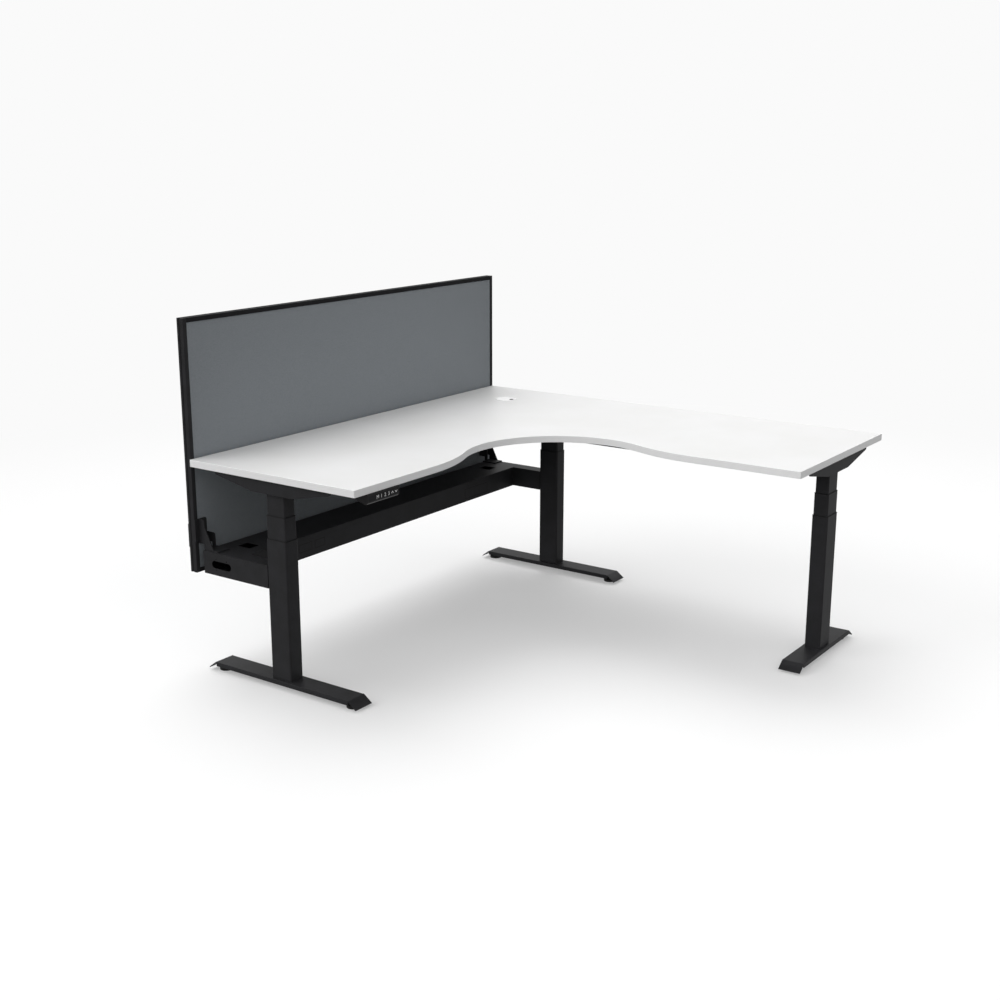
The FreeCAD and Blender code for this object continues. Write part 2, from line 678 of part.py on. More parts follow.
def screen_post(x_out, x_in):
    """Upright profile: slot on the inner side, groove on the outer side."""
    s = 1 if x_in > x_out else -1
    solid = box(min(x_out, x_in), max(x_out, x_in), SCREEN_FRONT, SCREEN_BACK, SCREEN_BOTTOM, SCREEN_TOP)
    slot = sorted((x_in - s * FRAME_SLOT, x_in + s))
    cut = [box(slot[0], slot[1], FABRIC_FRONT - slot_room, FABRIC_BACK + slot_room,
               SCREEN_BOTTOM + FRAME_RIM - FRAME_SLOT, SCREEN_TOP - FRAME_RIM + FRAME_SLOT)]
    for g0, g1 in groove:
        side = sorted((x_out - s, x_out + s * FRAME_GROOVE))
        cut.append(box(side[0], side[1], g0, g1, SCREEN_BOTTOM - 1, SCREEN_TOP + 1))
    return solid.cut(cut)


def screen_rail(z_out, z_in):
    """Level profile between the posts."""
    s = 1 if z_in > z_out else -1
    x0 = SCREEN_LEFT + FRAME_RIM
    x1 = SCREEN_RIGHT - FRAME_RIM
    solid = box(x0, x1, SCREEN_FRONT, SCREEN_BACK, min(z_out, z_in), max(z_out, z_in))
    slot = sorted((z_in - s * FRAME_SLOT, z_in + s))
    cut = [box(x0 - 1, x1 + 1, FABRIC_FRONT - slot_room, FABRIC_BACK + slot_room, slot[0], slot[1])]
    for g0, g1 in groove:
        side = sorted((z_out - s, z_out + s * FRAME_GROOVE))
        cut.append(box(x0 - 1, x1 + 1, g0, g1, side[0], side[1]))
    return solid.cut(cut)


save("screen_left_post", screen_post(SCREEN_LEFT, SCREEN_LEFT + FRAME_RIM))
save("screen_right_post", screen_post(SCREEN_RIGHT, SCREEN_RIGHT - FRAME_RIM))
save("screen_top_rail", screen_rail(SCREEN_TOP, SCREEN_TOP - FRAME_RIM))
save("screen_bottom_rail", screen_rail(SCREEN_BOTTOM, SCREEN_BOTTOM + FRAME_RIM))

clamp_z0 = DUCT_TOP
clamp_bolt_zs = [clamp_z0 + CLAMP_BOLT_LOW, clamp_z0 + CLAMP_BOLT_HIGH]
clamp_xs = [(LEFT_X - arm_w + CLAMP_INSET, 1), (CORNER_X + arm_w, -1)]
clamp_spots = [(x + s * CLAMP_BOLT_IN, z) for x, s in clamp_xs for z in clamp_bolt_zs]
through = [rod_y(FRAME_BOLT_D + 2 * RUN, x, z, SCREEN_FRONT - 9, SCREEN_BACK + 9) for x, z in clamp_spots]

margin = FRAME_RIM - FRAME_SLOT + RUN
panel = [SCREEN_LEFT + margin, SCREEN_RIGHT - margin, SCREEN_BOTTOM + margin, SCREEN_TOP - margin]


def sheet(y0, y1):
    """Flat layer of the panel between two depths."""
    return box(panel[0], panel[1], y0, y1, panel[2], panel[3]).cut(through)


save("screen_front_fabric", sheet(FABRIC_FRONT, FABRIC_FRONT + FABRIC))
save("screen_back_fabric", sheet(FABRIC_BACK - FABRIC, FABRIC_BACK))
save("screen_board", sheet(FABRIC_FRONT + FABRIC, FABRIC_BACK - FABRIC))


def gusset(x, s, corner, front):
    """Upright plate from the foot plate to the flange, with its top front corner rounded."""
    back = [
        (-DUCT_BACK, clamp_z0 + CLAMP_FOOT), (-DUCT_BACK, clamp_z0 + CLAMP_RISE),
        (FABRIC_FRONT, clamp_z0 + CLAMP_RISE), (FABRIC_FRONT, corner[1]),
    ]
    x0, x1 = sorted((x, x + s * CLAMP_SHEET))
    plate = extrude_yz(back + [corner] + front, x0, x1)
    edges = []
    for e in plate.Edges:
        at = e.CenterOfMass
        if math.hypot(at.y - corner[0], at.z - corner[1]) < 0.1:
            edges.append(e)
    return plate.makeFillet(CLAMP_CORNER, edges)


def screen_bracket(x, s):
    """Foot plate on the duct, two gussets, and a flange with an ear that laps over the frame."""
    c = CLAMP_SHEET
    y_face = FABRIC_FRONT
    top = clamp_z0 + CLAMP_HEIGHT
    plate_top = clamp_z0 + CLAMP_FOOT
    lo, hi = sorted((x, x + s * CLAMP_WIDTH))
    foot_plate = box(lo, hi, y_face - CLAMP_REACH, -DUCT_BACK, clamp_z0, plate_top)
    lo, hi = sorted((x, x + s * (LOW_AT + c)))
    flange = box(lo, hi, y_face - c, y_face, clamp_z0 + CLAMP_RISE, top)
    inner = [e for e in flange.Edges if e.BoundBox.YLength > c / 2 and e.BoundBox.ZMin > top - 1]
    inner = [e for e in inner if abs(e.BoundBox.XMin - x) > c]
    flange = flange.makeFillet(CLAMP_CORNER, inner)
    far = SCREEN_LEFT if s > 0 else SCREEN_RIGHT
    lo, hi = sorted((far, x + s * EAR_LAP))
    ear = box(lo, hi, SCREEN_FRONT - c, SCREEN_FRONT, clamp_z0 + EAR_RISE, top)
    tall_y = y_face - TALL_TOP
    tall = gusset(x, s, (tall_y, top), [(tall_y, top - TALL_DROP), (y_face - TALL_FOOT, plate_top)])
    low_y = y_face - LOW_DEEP
    low = gusset(x + s * LOW_AT, s, (low_y, clamp_z0 + LOW_TOP), [(low_y, plate_top)])
    return join(foot_plate, [flange, ear, tall, low]).cut(through)


def back_plate(x, s):
    """Plate behind the screen with a pad that fills the recess."""
    lo, hi = sorted((x - s * BACK_PLATE_LAP, x + s * CLAMP_WIDTH))
    z0 = clamp_z0 + BACK_PLATE_RISE
    z1 = z0 + BACK_PLATE_H
    plate = box(lo, hi, SCREEN_BACK, SCREEN_BACK + BACK_PLATE, z0, z1)
    plate = plate.makeChamfer(1.5, [e for e in plate.Edges if e.BoundBox.YMin > SCREEN_BACK + 1])
    pad = sorted((x, x + s * CLAMP_WIDTH))
    return join(plate, [box(pad[0], pad[1], FABRIC_BACK, SCREEN_BACK, z0, z1)]).cut(through)


save("left_screen_bracket", screen_bracket(*clamp_xs[0]))
save("right_screen_bracket", screen_bracket(*clamp_xs[1]))
save("screen_back_plates", Part.makeCompound([back_plate(x, s) for x, s in clamp_xs]))

clamp_bolts = []
for x, z in clamp_spots:
    y = FABRIC_FRONT - CLAMP_SHEET
    head = rod_y(1.75 * FRAME_BOLT_D, x, z, y - 3.5, y)
    head = head.makeChamfer(1, [e for e in head.Edges if e.Closed and e.BoundBox.YMax < y - 1])
    clamp_bolts.append(join(head, [rod_y(FRAME_BOLT_D, x, z, y, SCREEN_BACK + 5)]))
save("clamp_bolts", Part.makeCompound(clamp_bolts))
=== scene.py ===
import json
import logging
import math
from dataclasses import dataclass
from enum import Enum
from typing import Sequence

import bmesh
import bpy
from mathutils import Matrix, Vector

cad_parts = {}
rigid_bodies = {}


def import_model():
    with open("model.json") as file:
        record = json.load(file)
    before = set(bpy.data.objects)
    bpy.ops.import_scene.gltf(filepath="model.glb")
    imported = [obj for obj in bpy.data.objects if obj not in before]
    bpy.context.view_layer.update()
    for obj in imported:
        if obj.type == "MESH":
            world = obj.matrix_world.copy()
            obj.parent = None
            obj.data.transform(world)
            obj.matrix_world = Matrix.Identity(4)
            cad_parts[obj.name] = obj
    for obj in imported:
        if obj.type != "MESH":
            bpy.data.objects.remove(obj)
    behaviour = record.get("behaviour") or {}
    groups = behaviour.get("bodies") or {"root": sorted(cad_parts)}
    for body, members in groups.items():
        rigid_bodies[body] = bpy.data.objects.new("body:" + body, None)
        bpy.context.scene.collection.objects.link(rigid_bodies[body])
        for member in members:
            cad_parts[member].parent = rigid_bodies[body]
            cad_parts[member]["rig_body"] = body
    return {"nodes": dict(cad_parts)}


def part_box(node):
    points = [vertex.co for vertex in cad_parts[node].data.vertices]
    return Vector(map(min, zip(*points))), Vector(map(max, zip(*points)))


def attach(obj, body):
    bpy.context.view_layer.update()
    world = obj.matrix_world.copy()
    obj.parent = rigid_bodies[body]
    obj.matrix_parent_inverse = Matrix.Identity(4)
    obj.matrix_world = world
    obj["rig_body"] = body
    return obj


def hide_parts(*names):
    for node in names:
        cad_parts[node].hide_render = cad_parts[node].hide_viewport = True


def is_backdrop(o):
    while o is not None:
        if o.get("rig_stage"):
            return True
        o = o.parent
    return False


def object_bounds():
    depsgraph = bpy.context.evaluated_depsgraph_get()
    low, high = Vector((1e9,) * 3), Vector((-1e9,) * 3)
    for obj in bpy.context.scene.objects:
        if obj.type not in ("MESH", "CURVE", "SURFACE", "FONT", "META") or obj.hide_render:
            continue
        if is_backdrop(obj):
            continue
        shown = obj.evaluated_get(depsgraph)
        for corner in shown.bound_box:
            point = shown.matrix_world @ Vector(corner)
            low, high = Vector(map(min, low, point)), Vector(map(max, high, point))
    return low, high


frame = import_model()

LOG = logging.getLogger("corner_desk")
CAD_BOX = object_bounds()
MM = 0.001
QUARTER = math.pi / 2

# Short names of types: Edit is a mesh being edited, Flat is points in a plane, Ring is points in space
Edit = bmesh.types.BMesh
Flat = list[tuple[float, float]]
Mesh = bpy.types.Mesh
Node = bpy.types.Node
Ring = list[Vector]
Socket = bpy.types.NodeSocket
Thing = bpy.types.Object
Tree = bpy.types.NodeTree


class Leg(Enum):
    """The three legs, by where they stand."""

    LEFT = "left"
    CORNER = "corner"
    RIGHT = "right"


class End(Enum):
    """The two ends of a foot."""

    FRONT = "front"
    BACK = "back"


class Side(Enum):
    """The two ends of the duct, with the way along X that leads inwards from each."""

    LEFT = 1
    RIGHT = -1


class Way(Enum):
    """The ways that a bolt's head can look."""

    DOWN = (0.0, 0.0, -1.0)
    BACK = (0.0, 1.0, 0.0)
    FRONT = (0.0, -1.0, 0.0)


class Key(Enum):
    """The handset's keys from left to right, with the sign each one carries."""

    MEMORY = ("memory_key", "M")
    FIRST = ("first_key", "1")
    SECOND = ("second_key", "2")
    THIRD = ("third_key", "3")
    UP = ("up_key", "^")
    DOWN = ("down_key", "v")


# Colour and node helpers

def linear(hex_colour: str) -> tuple[float, float, float, float]:
    """Turn an sRGB hex value into linear light.

    Args:
        hex_colour: six hex digits, with or without a hash.

    Returns:
        Linear red, green, blue and an alpha of one.
    """
    digits = hex_colour.lstrip("#")
    values = [int(digits[i:i + 2], 16) / 255 for i in (0, 2, 4)]
    light = [v / 12.92 if v <= 0.04045 else ((v + 0.055) / 1.055) ** 2.4 for v in values]
    return light[0], light[1], light[2], 1.0


def plug(tree: Tree, entry: Socket, source: object) -> None:
    """Feed an input.

    Args:
        tree: the node tree.
        entry: the input.
        source: a socket, a node whose first output is meant, or a plain value.
    """
    if isinstance(source, Node):
        source = source.outputs[0]
    if isinstance(source, Socket):
        tree.links.new(source, entry)
    else:
        entry.default_value = source


def add(tree: Tree, kind: str, links: dict | None = None, **settings: object) -> Node:
    """Add a node with its settings and what feeds it.

    Args:
        tree: the node tree.
        kind: Blender's name for the node type.
        links: input name or number to what feeds it. A list feeds one input several times.
        settings: properties of the node.

    Returns:
        The new node.
    """
    node = tree.nodes.new(kind)
    for name, value in settings.items():
        setattr(node, name, value)
    for name, sources in (links or {}).items():
        for source in sources if isinstance(sources, list) else [sources]:
            plug(tree, node.inputs[name], source)
    return node


# Finishes

@dataclass(frozen=True)
class Surface:
    """A material in the making: its shader, and the object coordinates that its patterns read."""

    material: bpy.types.Material
    shader: Node
    place: Socket

    @classmethod
    def start(cls, name: str, colour: str, roughness: float, shine: float) -> "Surface":
        """Begin a material with an even colour.

        Args:
            name: the material's name.
            colour: sRGB hex value.
            roughness: the shader's roughness.
            shine: the shader's specular level.

        Returns:
            The surface, ready for its details.
        """
        material = bpy.data.materials.new(name)
        material.use_nodes = True
        material.diffuse_color = linear(colour)
        tree = material.node_tree
        place = add(tree, "ShaderNodeTexCoord").outputs["Object"]
        made = cls(material, tree.nodes["Principled BSDF"], place)
        made.feed("Base Color", linear(colour))
        made.feed("Roughness", roughness)
        made.feed("Specular IOR Level", shine)
        return made

    def add(self, kind: str, links: dict | None = None, **settings: object) -> Node:
        """Add a node to the material."""
        return add(self.material.node_tree, kind, links, **settings)

    def feed(self, name: str, source: object) -> None:
        """Feed one of the shader's inputs."""
        plug(self.material.node_tree, self.shader.inputs[name], source)


@dataclass(frozen=True)
class Finish:
    """A surface finish: what all of them share."""

    name: str
    slot: str
    colour: str
    roughness: float
    shine: float

    def material(self) -> bpy.types.Material:
        """Find the material of this finish, or make it on first use.

        Returns:
            The material.
        """
        made = bpy.data.materials.get(self.name)
        if made is None:
            on = Surface.start(self.name, self.colour, self.roughness, self.shine)
            self.detail(on)
            made = on.material
        return made

    def detail(self, on: Surface) -> None:
        """Add what the bare colour lacks."""
        raise NotImplementedError

    def grain(self, on: Surface, size_mm: float, height_mm: float, strength: float) -> Node:
        """Give the surface a fine relief.

        Args:
            on: the surface.
            size_mm: width of one grain.
            height_mm: how high a grain stands.
            strength: share of the relief that shows.

        Returns:
            The noise that the relief comes from.
        """
        noise = on.add("ShaderNodeTexNoise", {"Vector": on.place, "Scale": 1000 / size_mm, "Detail": 2.0})
        relief = {"Height": noise, "Distance": height_mm * MM, "Strength": strength}
        on.feed("Normal", on.add("ShaderNodeBump", relief))
        return noise

    def tint(self, on: Surface, pattern: Node, stops: dict[float, str]) -> None:
        """Colour the surface by a pattern.

        Args:
            on: the surface.
            pattern: the node whose value picks the tone.
            stops: two values, each with its sRGB colour, dark and light.
        """
        ramp = on.add("ShaderNodeValToRGB", {"Fac": pattern})
        for element, (value, colour) in zip(ramp.color_ramp.elements, stops.items()):
            element.position = value
            element.color = linear(colour)
        on.feed("Base Color", ramp)

    def cloud(self, on: Surface, size_mm: float, dark: str, light: str) -> None:
        """Vary the colour softly over the surface, in clouds of about a given size."""
        noise = on.add("ShaderNodeTexNoise", {"Vector": on.place, "Scale": 1000 / size_mm, "Detail": 3.0})
        self.tint(on, noise, {0.32: dark, 0.68: light})

    def uneven_gloss(self, on: Surface, pattern: Node, less: float, more: float) -> None:
        """Let the roughness follow a pattern, from so much less to so much more than the finish's own."""
        ends = {"Value": pattern, "To Min": self.roughness - less, "To Max": self.roughness + more}
        on.feed("Roughness", on.add("ShaderNodeMapRange", ends))


@dataclass(frozen=True)
class Laminate(Finish):
    """Melamine-faced board, pressed against a fine matt plate."""

    dark: str = "#DEDEDD"
    light: str = "#E2E2E2"
    cloud_mm: float = 240.0
    pearl_mm: float = 1.6

    def detail(self, on: Surface) -> None:
        """Add the pearl relief and a very slight unevenness of the white."""
        self.grain(on, self.pearl_mm, height_mm=0.02, strength=0.35)
        self.cloud(on, self.cloud_mm, self.dark, self.light)


@dataclass(frozen=True)
class PowderCoat(Finish):
    """Steel or aluminium with a baked powder coat."""

    light: str
    cloud_mm: float = 55.0
    peel_mm: float = 0.9

    def detail(self, on: Surface) -> None:
        """Add orange peel, gloss that varies a little with it, and a faint cloud in the black.

        Args:
            on: the surface.
        """
        peel = self.grain(on, self.peel_mm, height_mm=0.05, strength=0.45)
        self.cloud(on, self.cloud_mm, self.colour, self.light)
        self.uneven_gloss(on, peel, less=0.06, more=0.08)


@dataclass(frozen=True)
class Weave(Finish):
    """Woven polyester screen cloth in a plain weave.

    The real yarn is about 0.8 mm wide. It is drawn three times as coarse, so that it shows. A slub, where
    the yarn is thicker, is about 4 mm long.
    """

    yarn_mm: float = 2.4
    yarn_high_mm: float = 0.25
    slubs_per_m: tuple[float, float, float] = (260.0, 260.0, 1400.0)
    dark: str = "#71767A"
    light: str = "#959A9F"
    sheen: float = 0.15
    sheen_spread: float = 0.5

    def detail(self, on: Surface) -> None:
        """Add warp and weft, mottled yarns and a soft sheen.

        Args:
            on: the surface.
        """
        split = on.add("ShaderNodeSeparateXYZ", {"Vector": on.place})
        waves = []
        for axis in ("X", "Z"):
            turn = math.pi * 1000 / self.yarn_mm
            phase = on.add("ShaderNodeMath", {0: split.outputs[axis], 1: turn}, operation="MULTIPLY")
            waves.append(on.add("ShaderNodeMath", {0: phase}, operation="SINE"))
        over = on.add("ShaderNodeMath", {0: waves[0], 1: waves[1]}, operation="MULTIPLY")
        warp, weft = [on.add("ShaderNodeMath", {0: wave}, operation="ABSOLUTE") for wave in waves]
        side = on.add("ShaderNodeMath", {0: over, 1: 0.0}, operation="GREATER_THAN")
        yarn = on.add("ShaderNodeMix", {"Factor": side, "A": warp, "B": weft})
        slub = on.add("ShaderNodeMapping", {"Vector": on.place, "Scale": self.slubs_per_m})
        streak = on.add("ShaderNodeTexNoise", {"Vector": slub, "Scale": 1.0, "Detail": 2.0})
        mottle = on.add("ShaderNodeMath", {0: yarn, 1: streak}, operation="MULTIPLY")
        self.tint(on, mottle, {0.08: self.dark, 0.55: self.light})
        relief = {"Height": yarn, "Distance": self.yarn_high_mm * MM, "Strength": 0.5}
        on.feed("Normal", on.add("ShaderNodeBump", relief))
        on.feed("Sheen Weight", self.sheen)
        on.feed("Sheen Roughness", self.sheen_spread)


@dataclass(frozen=True)
class Moulded(Finish):
    """Moulded or extruded plastic with a fine grain."""

    grain_mm: float = 0.6

    def detail(self, on: Surface) -> None:
        """Add the grain and a slight change of gloss with it."""
        pattern = self.grain(on, self.grain_mm, height_mm=0.03, strength=0.3)
        self.uneven_gloss(on, pattern, less=0.04, more=0.06)


@dataclass(frozen=True)
class PlatedSteel(Finish):
    """Steel with a plated or oxidised skin."""

    crystal_mm: float = 1.5

    def detail(self, on: Surface) -> None:
        """Make it metal, with a fine crystal pattern in the gloss.

        Args:
            on: the surface.
        """
        on.feed("Metallic", 1.0)
        scale = 1000 / self.crystal_mm
        crystals = on.add("ShaderNodeTexNoise", {"Vector": on.place, "Scale": scale, "Detail": 2.0})
        self.uneven_gloss(on, crystals, less=0.08, more=0.1)


@dataclass(frozen=True)
class RawBoard(Finish):
    """Raw fibre board, whose fibres lie flat."""

    fibre_mm: float = 3.0
    dark: str = "#8A6F4F"
    light: str = "#A58A66"

    def detail(self, on: Surface) -> None:
        """Add the mottle of the fibres."""
        self.cloud(on, self.fibre_mm, self.dark, self.light)


@dataclass(frozen=True)
class Lens(Finish):
    """Etched dark acrylic."""

    etch_mm: float = 0.4
    smoke_mm: float = 30.0
    dark: str = "#0C0D0E"
    light: str = "#131416"

    def detail(self, on: Surface) -> None:
        """Add the etched grain and a faint smoke."""
        self.grain(on, self.etch_mm, height_mm=0.02, strength=0.3)
        self.cloud(on, self.smoke_mm, self.dark, self.light)


# Pressed melamine: a soft white that mirrors nothing clearly
WHITE_TOP = Laminate("white_melamine_board", "white_laminate", "#E0E0E0", 0.42, 0.42)
# Extruded ABS strip: a shade brighter than the board, with a faint shine
WHITE_EDGE = Moulded("white_abs_edge_strip", "white_edge", "#F3F3F3", 0.45, 0.35)
# Moulded ABS with a polished face: bright white with a clear shine
WHITE_ABS = Moulded("white_abs_grommet", "white_plastic", "#FDFDFD", 0.2, 1.0)
# Powder coat baked on steel: charcoal, with a dull and slightly lumpy shine
BLACK_STEEL = PowderCoat("black_powder_coated_steel", "black_steel", "#272728", 0.46, 0.08, "#2C2C2E")
# Powder coat on drawn aluminium, one black coat on rails and posts: the rails take a darker copy as painted
# shade, the posts a lighter copy as painted light
BLACK_RAIL_PAINTED_SHADE = PowderCoat("black_coat_rail_painted_shade", "black_aluminium", "#1C1C1D", 0.6, 0.05, "#212123")
BLACK_POST_PAINTED_LIGHT = PowderCoat("black_coat_post_painted_light", "black_aluminium", "#2A2A2B", 0.6, 0.05, "#2F2F31")
# Woven polyester: mid grey, mottled, soft in the light
GREY_CLOTH = Weave("grey_woven_polyester", "grey_fabric", "#7C8185", 0.9, 0.2)
# Moulded ABS from a matt mould for keys and housings, and from a finer one for the handset's case
BLACK_ABS = Moulded("black_abs", "black_plastic", "#131314", 0.42, 0.18)
CASE_ABS = Moulded("satin_black_abs", "black_plastic", "#101011", 0.3, 0.16)
# Moulded nylon: dull and very dark
BLACK_NYLON = Moulded("black_nylon", "black_plastic", "#0E0E0E", 0.55, 0.15)
# Printed ink: pale and flat
KEY_INK = Moulded("pale_grey_key_ink", "black_plastic", "#EDEDED", 0.5, 0.35)
# Etched acrylic over a display: nearly black, with no clear reflection
DISPLAY = Lens("dark_acrylic_lens", "black_plastic", "#0F1011", 0.5, 0.12)
# Zinc plate: bright grey metal with a soft glitter
ZINC = PlatedSteel("zinc_plated_steel", "zinc_steel", "#C3C5C8", 0.32, 0.5)
# Black oxide: dark metal with a dull glint
DARK_BOLT = PlatedSteel("black_oxide_steel", "black_steel", "#3A3A3C", 0.4, 0.5)
# Raw fibre board: brown, mottled and dull
FIBRE_BOARD = RawBoard("raw_fibre_board", "board", "#97815F", 0.85, 0.5)


# Mesh helpers

def body_of(node: str) -> str:
    """Return the body that a CAD node belongs to."""
    return frame["nodes"][node]["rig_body"]


def span_of(node: str) -> tuple[Vector, Vector, Vector]:
    """Return a CAD node's lowest corner, highest corner and middle, in metres."""
    lo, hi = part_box(node)
    return lo, hi, (lo + hi) / 2


def show(mesh: Mesh, name: str, finish: Finish, body: str, replaces: Sequence[str] = (),
         smooth_deg: float = 35.0) -> Thing:
    """Put a finished mesh into the scene as one piece.

    Args:
        mesh: the mesh, in place, in metres.
        name: the piece's name.
        finish: its finish.
        body: the body it rides on.
        replaces: CAD nodes that it stands for.
        smooth_deg: faces that meet at less than this are shaded smooth.

    Returns:
        The object.
    """
    mesh.materials.clear()
    mesh.materials.append(finish.material())
    for face in mesh.polygons:
        face.use_smooth = True
        face.material_index = 0
    mesh.set_sharp_from_angle(angle=math.radians(smooth_deg))
    mesh = finished(mesh, "WEIGHTED_NORMAL", keep_sharp=True)
    mesh.name = name
    piece = bpy.data.objects.new(name, mesh)
    bpy.context.scene.collection.objects.link(piece)
    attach(piece, body)
    if replaces:
        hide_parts(*replaces)
    LOG.info("%s: %d faces", name, len(mesh.polygons))
    return piece


def to_mesh(work: Edit) -> Mesh:
    """Close an edit mesh, with its faces turned outwards.

    Args:
        work: the edit mesh, which is freed.

    Returns:
        The mesh.
    """
    bmesh.ops.recalc_face_normals(work, faces=work.faces)
    mesh = bpy.data.meshes.new("piece")
    work.to_mesh(mesh)
    work.free()
    return mesh


def finished(data: bpy.types.ID, kind: str = "", inputs: dict | None = None, **settings: object) -> Mesh:
    """Run a modifier over a mesh, or fill a text, and keep the result.

    Args:
        data: the mesh or the text to start from.
        kind: Blender's name for the modifier type, or nothing for a text.
        inputs: values for the inputs of a node group, by their identifiers.
        settings: properties of the modifier.

    Returns:
        A plain mesh.
    """
    work = bpy.data.objects.new("work", data)
    bpy.context.scene.collection.objects.link(work)
    if kind:
        modifier = work.modifiers.new(kind, kind)
        for name, value in settings.items():
            setattr(modifier, name, value)
        for name, value in (inputs or {}).items():
            modifier[name] = value
    bpy.context.view_layer.update()
    graph = bpy.context.evaluated_depsgraph_get()
    ready = work.evaluated_get(graph)
    result = bpy.data.meshes.new_from_object(ready, preserve_all_data_layers=True, depsgraph=graph)
    bpy.data.objects.remove(work)
    return result


def eased(mesh: Mesh, radius_mm: float, segments: int, angle_deg: float = 40.0) -> Mesh:
    """Round those edges of a mesh that are sharper than an angle."""
    return finished(mesh, "BEVEL", width=radius_mm * MM, segments=segments, limit_method="ANGLE",
                    angle_limit=math.radians(angle_deg), use_clamp_overlap=True)


def merged(node: str, apart: float = 2e-6) -> Edit:
    """Open a copy of a CAD node's loose triangles, joined up, for editing.

    Args:
        node: the CAD node.
        apart: corners closer than this, in metres, become one.

    Returns:
        The edit mesh.
    """
    work = bmesh.new()
    work.from_mesh(frame["nodes"][node].data)
    bmesh.ops.remove_doubles(work, verts=work.verts, dist=apart)
    return work


def from_node(node: str, flat_deg: float = 0.6) -> Mesh:
    """Copy a CAD node's mesh, with its flat faces joined up.

    Args:
        node: the CAD node.
        flat_deg: faces that meet at less than this become one.

    Returns:
        The copy.
    """
    work = merged(node)
    bmesh.ops.dissolve_limit(work, angle_limit=math.radians(flat_deg), verts=work.verts, edges=work.edges)
    mesh = bpy.data.meshes.new(node)
    work.to_mesh(mesh)
    work.free()
    return mesh


def dress(node: str, finish: Finish, radius_mm: float, segments: int = 2) -> Thing:
    """Replace a CAD node by a copy of itself with eased edges, and return that piece."""
    mesh = eased(from_node(node), radius_mm, segments)
    return show(mesh, node + "_finished", finish, body_of(node), [node])


def coat(node: str, finish: Finish) -> None:
    """Give a finish to a CAD node that stays as it is.

    Args:
        node: the CAD node.
        finish: its finish.
    """
    thing = frame["nodes"][node]
    thing.data.materials.clear()
    thing.data.materials.append(finish.material())
    LOG.info("%s: kept, %s", node, finish.name)


def skin(work: Edit, low: Sequence, high: Sequence) -> None:
    """Join two equal rings of corners by a band of faces.

    Args:
        work: the edit mesh.
        low: first ring.
        high: second ring.
    """
    for i in range(len(low)):
        j = (i + 1) % len(low)
        work.faces.new((low[i], low[j], high[j], high[i]))


def loft(rings: Sequence[Ring], closed: bool = False) -> Mesh:
    """Skin a row of equal rings.

    Args:
        rings: rings of points, each closed on itself.
        closed: whether the last ring joins the first, instead of both being capped.

    Returns:
        The mesh.
    """
    work = bmesh.new()
    made = [[work.verts.new(p) for p in ring] for ring in rings]
    for low, high in zip(made, made[1:]):
        skin(work, low, high)
    if closed:
        skin(work, made[-1], made[0])
    else:
        work.faces.new(made[0])
        work.faces.new(made[-1])
    return to_mesh(work)


def circle(radius: float, steps: int) -> Flat:
    """Return points on a circle round the origin."""
    turns = [2 * math.pi * i / steps for i in range(steps)]
    return [(radius * math.cos(a), radius * math.sin(a)) for a in turns]


def rounded_ring(wide: float, deep: float, radius: float, steps: int = 7) -> Flat:
    """Draw a rounded rectangle round the origin.

    Args:
        wide: size along X.
        deep: size along Y.
        radius: corner radius.
        steps: points on each corner.

    Returns:
        The points, anticlockwise.
    """
    points = []
    for k, (sx, sy) in enumerate(((1, 1), (-1, 1), (-1, -1), (1, -1))):
        for i in range(steps):
            a = QUARTER * (k + i / (steps - 1))
            x = sx * (wide / 2 - radius) + radius * math.cos(a)
            points.append((x, sy * (deep / 2 - radius) + radius * math.sin(a)))
    return points


def lying(points: Flat, middle: Vector, z: float) -> Ring:
    """Lay flat points, in millimetres, level round a middle at a height in metres."""
    return [Vector((middle.x + x * MM, middle.y + y * MM, z)) for x, y in points]


def facing(points: Flat, middle: Vector, out: float) -> Ring:
    """Stand flat points, in millimetres, upright on a front face, so far out from it."""
    return [Vector((middle.x + x * MM, middle.y - out * MM, middle.z + y * MM)) for x, y in points]


def lathe(profile: Flat, centre: Vector, steps: int = 40) -> Mesh:
    """Turn a profile of radius and height, in millimetres, round an upright axis and cap both ends."""
    return loft([lying(circle(r, steps), centre, centre.z + z * MM) for r, z in profile])


def islands(node: str) -> list[tuple[Vector, Vector]]:
    """Find the separate solids of a CAD node.

    Args:
        node: the CAD node.

    Returns:
        Lowest and highest corner of each solid.
    """
    work = merged(node)
    left = set(work.verts)
    boxes = []
    for start in work.verts:
        if start not in left:
            continue
        left.remove(start)
        reach = [start]
        for vert in reach:
            near = {edge.other_vert(vert) for edge in vert.link_edges} & left
            left -= near
            reach.extend(near)
        low, high = [Vector([pick(v.co[k] for v in reach) for k in range(3)]) for pick in (min, max)]
        boxes.append((low, high))
    work.free()
    return boxes


# Geometry-nodes recipes for what repeats

